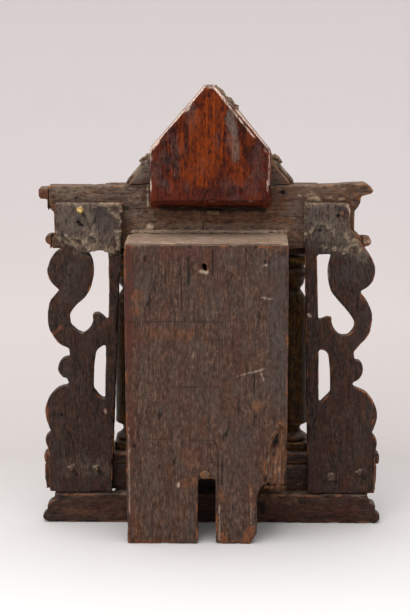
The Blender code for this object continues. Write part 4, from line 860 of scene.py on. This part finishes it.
# %% Pediment pieces
pediment = dress("worn_pediment_board", "pediment_board", "x", 1.4 * MM, CROSS_WOOD, "worn_walnut", 240)
mark(pediment, "slate", ((-80, 350, -60, 370, 9, 0.6), (62, 352, 80, 350, 7, 0.4)), 241)
mark(pediment, "dust", ((-78, 352, -62, 362, 5, 0.5),), 242)
for side, sign, seed in (("left", -1, 250), ("right", 1, 260)):
    rake = dress("worn_rake_" + side, "rake_" + side, "z", 1.2 * MM, CROSS_WOOD, "worn_walnut", seed,
                 chips=1.3)
    mark(rake, "glue", (
        (sign * 64, 374, sign * 66, 371, 3.5, 0.8),
        (sign * 72, 363, sign * 76, 358, 2.5, 0.6)), seed + 1, facing=0)
low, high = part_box("pediment_block")
glue_lump("glue_on_block", CROSS_WOOD, (15.4 * MM, low.y + 9 * MM, 434.6 * MM),
          (32 * MM, 6 * MM, 6.0 * MM), math.radians(45), 291, rough=1.5 * MM)
RAKE_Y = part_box("rake_right")[0].y
glue_lump("glue_on_right_rake", CROSS_WOOD, (65.5 * MM, RAKE_Y + 3 * MM, 371.5 * MM),
          (12 * MM, 6 * MM, 6 * MM), math.radians(45), 294, rough=1.6 * MM)
glue_lump("glue_on_left_rake", CROSS_WOOD, (-65.5 * MM, RAKE_Y + 3 * MM, 371.6 * MM),
          (12 * MM, 6 * MM, 6 * MM), math.radians(-32), 297, rough=1.6 * MM)
dress("worn_pediment_sill", "pediment_sill", "x", 1.6 * MM, CROSS_WOOD, "worn_walnut", 270)
dress("worn_pediment_boss", "pediment_boss", "z", 0.6 * MM, GILDING, "worn_gilding", 280,
      edge_round=0.3 * MM, rough=0.3, chips=0.3, smooth=4)

# %% [markdown]
# ## Mouldings, columns and gilded fields
# These are small, so their skin is finer and the wear is lighter. The turned columns were waxed a warm brown.

# %% Small pieces
# How the names start, grain, skin, material, slot, rounding of the edges, roughness and chips
SMALL_PIECES = ((("field", "frieze_tablet"), "x", 0.9, GILDING, "worn_gilding", 0.5, 0.3, 0.4),
                (("peg_", "block_peg"), "y", 0.4, PEG_WOOD, "peg_wood", 0.2, 0.5, 0.25),
                ("nail", "y", 0.35, IRON, "iron_nail", 0.2, 0.4, 0.25),
                ("bent_nail", "y", 0.3, IRON, "iron_nail", 0.1, 0.1, 0.05))
for number, name in enumerate(sorted(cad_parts)):
    seed = 300 + 8 * number
    if name.startswith(("cornice", "bead")):
        skin = 0.55 * MM if "_end_" in name else 1.2 * MM
        piece = dress("worn_" + name, name, "x", skin, CROSS_WOOD, "worn_walnut", seed,
                      edge_round=0.3 * MM, rough=0.5, chips=0.35, smooth=2)
        x, z = centre(name)
        if name == "cornice_end_left":
            mark(piece, "blood", ((x - 3, z + 5, x - 3, z - 2, 7, 0.8),), seed)
            mark(piece, "torn", (
                (x + 3, z - 7, x + 3, z - 9, 4, 0.8), (x - 2, z + 9, x + 3, z + 10, 2, 0.7)), seed)
        elif name == "bead_end_right":
            mark(piece, "torn", ((x, z + 2, x + 4, z, 6, 1),), seed, facing=0)
            mark(piece, "pale", ((x - 3, z + 3, x + 3, z + 3, 2, 0.6),), seed, facing=0)
        elif name == "bead_end_left":
            mark(piece, "rust", ((x + 2, z + 3, x + 1, z - 5, 2, 0.9),), seed, facing=0)
    elif name.startswith("column"):
        turned = name in ("column_left", "column_right")
        dress("worn_" + name, name, "z", 1.4 * MM, COLUMN_WOOD, "dark_walnut", seed,
              edge_round=0.3 * MM, rough=0.4, chips=0.3, smooth=6 if turned else 0)
    elif name != "nail_left_top":
        for starts, grain, skin, material, slot, edge_round, rough, chips in SMALL_PIECES:
            if name.startswith(starts):
                dress("worn_" + name, name, grain, skin * MM, material, slot, seed,
                      edge_round=edge_round * MM, rough=rough, chips=chips)

# %% [markdown]
# ## The brass nail
# One big nail at the upper left has a hammered head of brass, still bright on its lumps.

# %% Brass nail
nail = dress("worn_nail_left_top", "nail_left_top", "y", 0.3 * MM, BRASS, "brass_nail", 900,
             edge_round=0.3 * MM, rough=0.2, chips=0.0)
places, normals, edges = read_mesh(nail)
dents = noise(places, (2.4 * MM,) * 3, 901) + 0.5 * noise(places, (1.0 * MM,) * 3, 902) + 0.35
write_places(nail, places + normals * (dents * 0.6 * MM)[:, None])

# %% [markdown]
# ## Stage, light and camera
# The piece stands on a pale sweep in soft light from above and from the viewer's left.

# %% Sweep
SWEEP_RADIUS = 4.5
BEND_RADIUS = 1.2
BEND_STEPS = 8
BEND_STEP = math.radians(90 / BEND_STEPS)
WALL_HEIGHT = 2.0
bpy.ops.object.select_all(action="DESELECT")
bpy.ops.mesh.primitive_circle_add(vertices=96, radius=SWEEP_RADIUS, fill_type="NGON", location=(0, 0, 0))
sweep = bpy.context.active_object
sweep.name = "sweep"
bpy.ops.object.mode_set(mode="EDIT")
bpy.ops.mesh.select_mode(type="EDGE")
bpy.ops.mesh.select_all(action="SELECT")
bpy.ops.mesh.region_to_loop()
for step in range(1, BEND_STEPS + 1):
    angle = BEND_STEP * step
    rise = BEND_RADIUS * (math.cos(angle - BEND_STEP) - math.cos(angle))
    grow = BEND_RADIUS * (math.sin(angle) - math.sin(angle - BEND_STEP))
    bpy.ops.mesh.extrude_region_move(TRANSFORM_OT_translate={"value": (0, 0, rise)})
    radius = SWEEP_RADIUS + BEND_RADIUS * math.sin(angle)
    bpy.ops.transform.resize(value=(radius / (radius - grow), radius / (radius - grow), 1))
bpy.ops.mesh.extrude_region_move(TRANSFORM_OT_translate={"value": (0, 0, WALL_HEIGHT)})
bpy.ops.mesh.select_all(action="SELECT")
bpy.ops.mesh.normals_make_consistent(inside=False)
bpy.ops.object.mode_set(mode="OBJECT")
bpy.ops.object.shade_smooth()
# Matte pale paper whose colour carries painted light falloff: bright in front, greyer just behind the object
# and light again far behind it
paper = bpy.data.materials.new("pale_studio_paper")
paper.use_nodes = True
paper_shader = paper.node_tree.nodes["Principled BSDF"]
where = add(paper, "TexCoord", out="Object")
depth = add(paper, "SeparateXYZ", out="Y", Vector=where)
depth = add(paper, "MapRange", Value=depth, From_Min=-0.4, From_Max=4.4)
paper_stops_with_painted_falloff = ((0.03, "#e0e0e1"), (0.13, "#bdb9b9"), (0.29, "#cfc8c8"), (0.7, "#ddd7d8"), (1.0, "#e6e0e1"))
paper_colour_and_painted_falloff = add(paper, "ValToRGB", {"stops": paper_stops_with_painted_falloff}, i0=depth)
paper.node_tree.links.new(paper_colour_and_painted_falloff, paper_shader.inputs["Base Color"])
paper_shader.inputs["Roughness"].default_value = 0.9
paper_shader.inputs["Specular IOR Level"].default_value = 0.1
sweep.data.materials.append(paper)

# %% Lights and world
world = bpy.data.worlds.new("soft_room")
bpy.context.scene.world = world
world.use_nodes = True
sky = world.node_tree
heading = add(world, "TexCoord", out="Generated")
rise = add(world, "SeparateXYZ", out="Z", Vector=heading)
brightness = add(world, "MapRange", Value=rise, From_Min=-0.1, From_Max=0.9, To_Min=0.30, To_Max=1.25)
sky.links.new(brightness, sky.nodes["Background"].inputs["Strength"])
sky.nodes["Background"].inputs["Color"].default_value = (1.0, 0.985, 0.97, 1.0)


def soft_light(name, place, target, size, power, shade):
    """A square area light that faces a point."""
    data = bpy.data.lights.new(name, "AREA")
    data.shape = "SQUARE"
    data.size = size
    data.energy = power
    data.color = colour(shade)[:3]
    lamp = bpy.data.objects.new(name, data)
    bpy.context.scene.collection.objects.link(lamp)
    lamp.location = place
    lamp.rotation_euler = (Vector(target) - Vector(place)).to_track_quat("-Z", "Y").to_euler()


soft_light("over_light", place=(-0.25, -0.35, 1.9), target=(0, 0, 0.2), size=1.4, power=19.0, shade="#fffaf4")
soft_light("front_light", place=(-1.0, -1.7, 1.1), target=(0, 0, 0.25), size=1.2, power=9.0, shade="#fffdfa")
bpy.context.scene.view_settings.view_transform = "Standard"

# %% Camera at the photograph's angle
CAMERA_PLACE = (0.027, PLANK_Y - 1.575, 0.564)
CAMERA_TURN = 1.2
CAMERA_TILT = 12.2
CAMERA_ROLL = -0.15
camera_data = bpy.data.cameras.new("camera")
camera_data.sensor_fit = "VERTICAL"
camera_data.sensor_height = 36.0
camera_data.lens = 93.78
camera_data.clip_start = 0.05
camera = bpy.data.objects.new("camera", camera_data)
bpy.context.scene.collection.objects.link(camera)
turn = (Matrix.Rotation(math.radians(CAMERA_TURN), 4, "Z")
        @ Matrix.Rotation(math.radians(90 - CAMERA_TILT), 4, "X")
        @ Matrix.Rotation(math.radians(CAMERA_ROLL), 4, "Z"))
camera.matrix_world = Matrix.Translation(CAMERA_PLACE) @ turn
bpy.context.scene.camera = camera
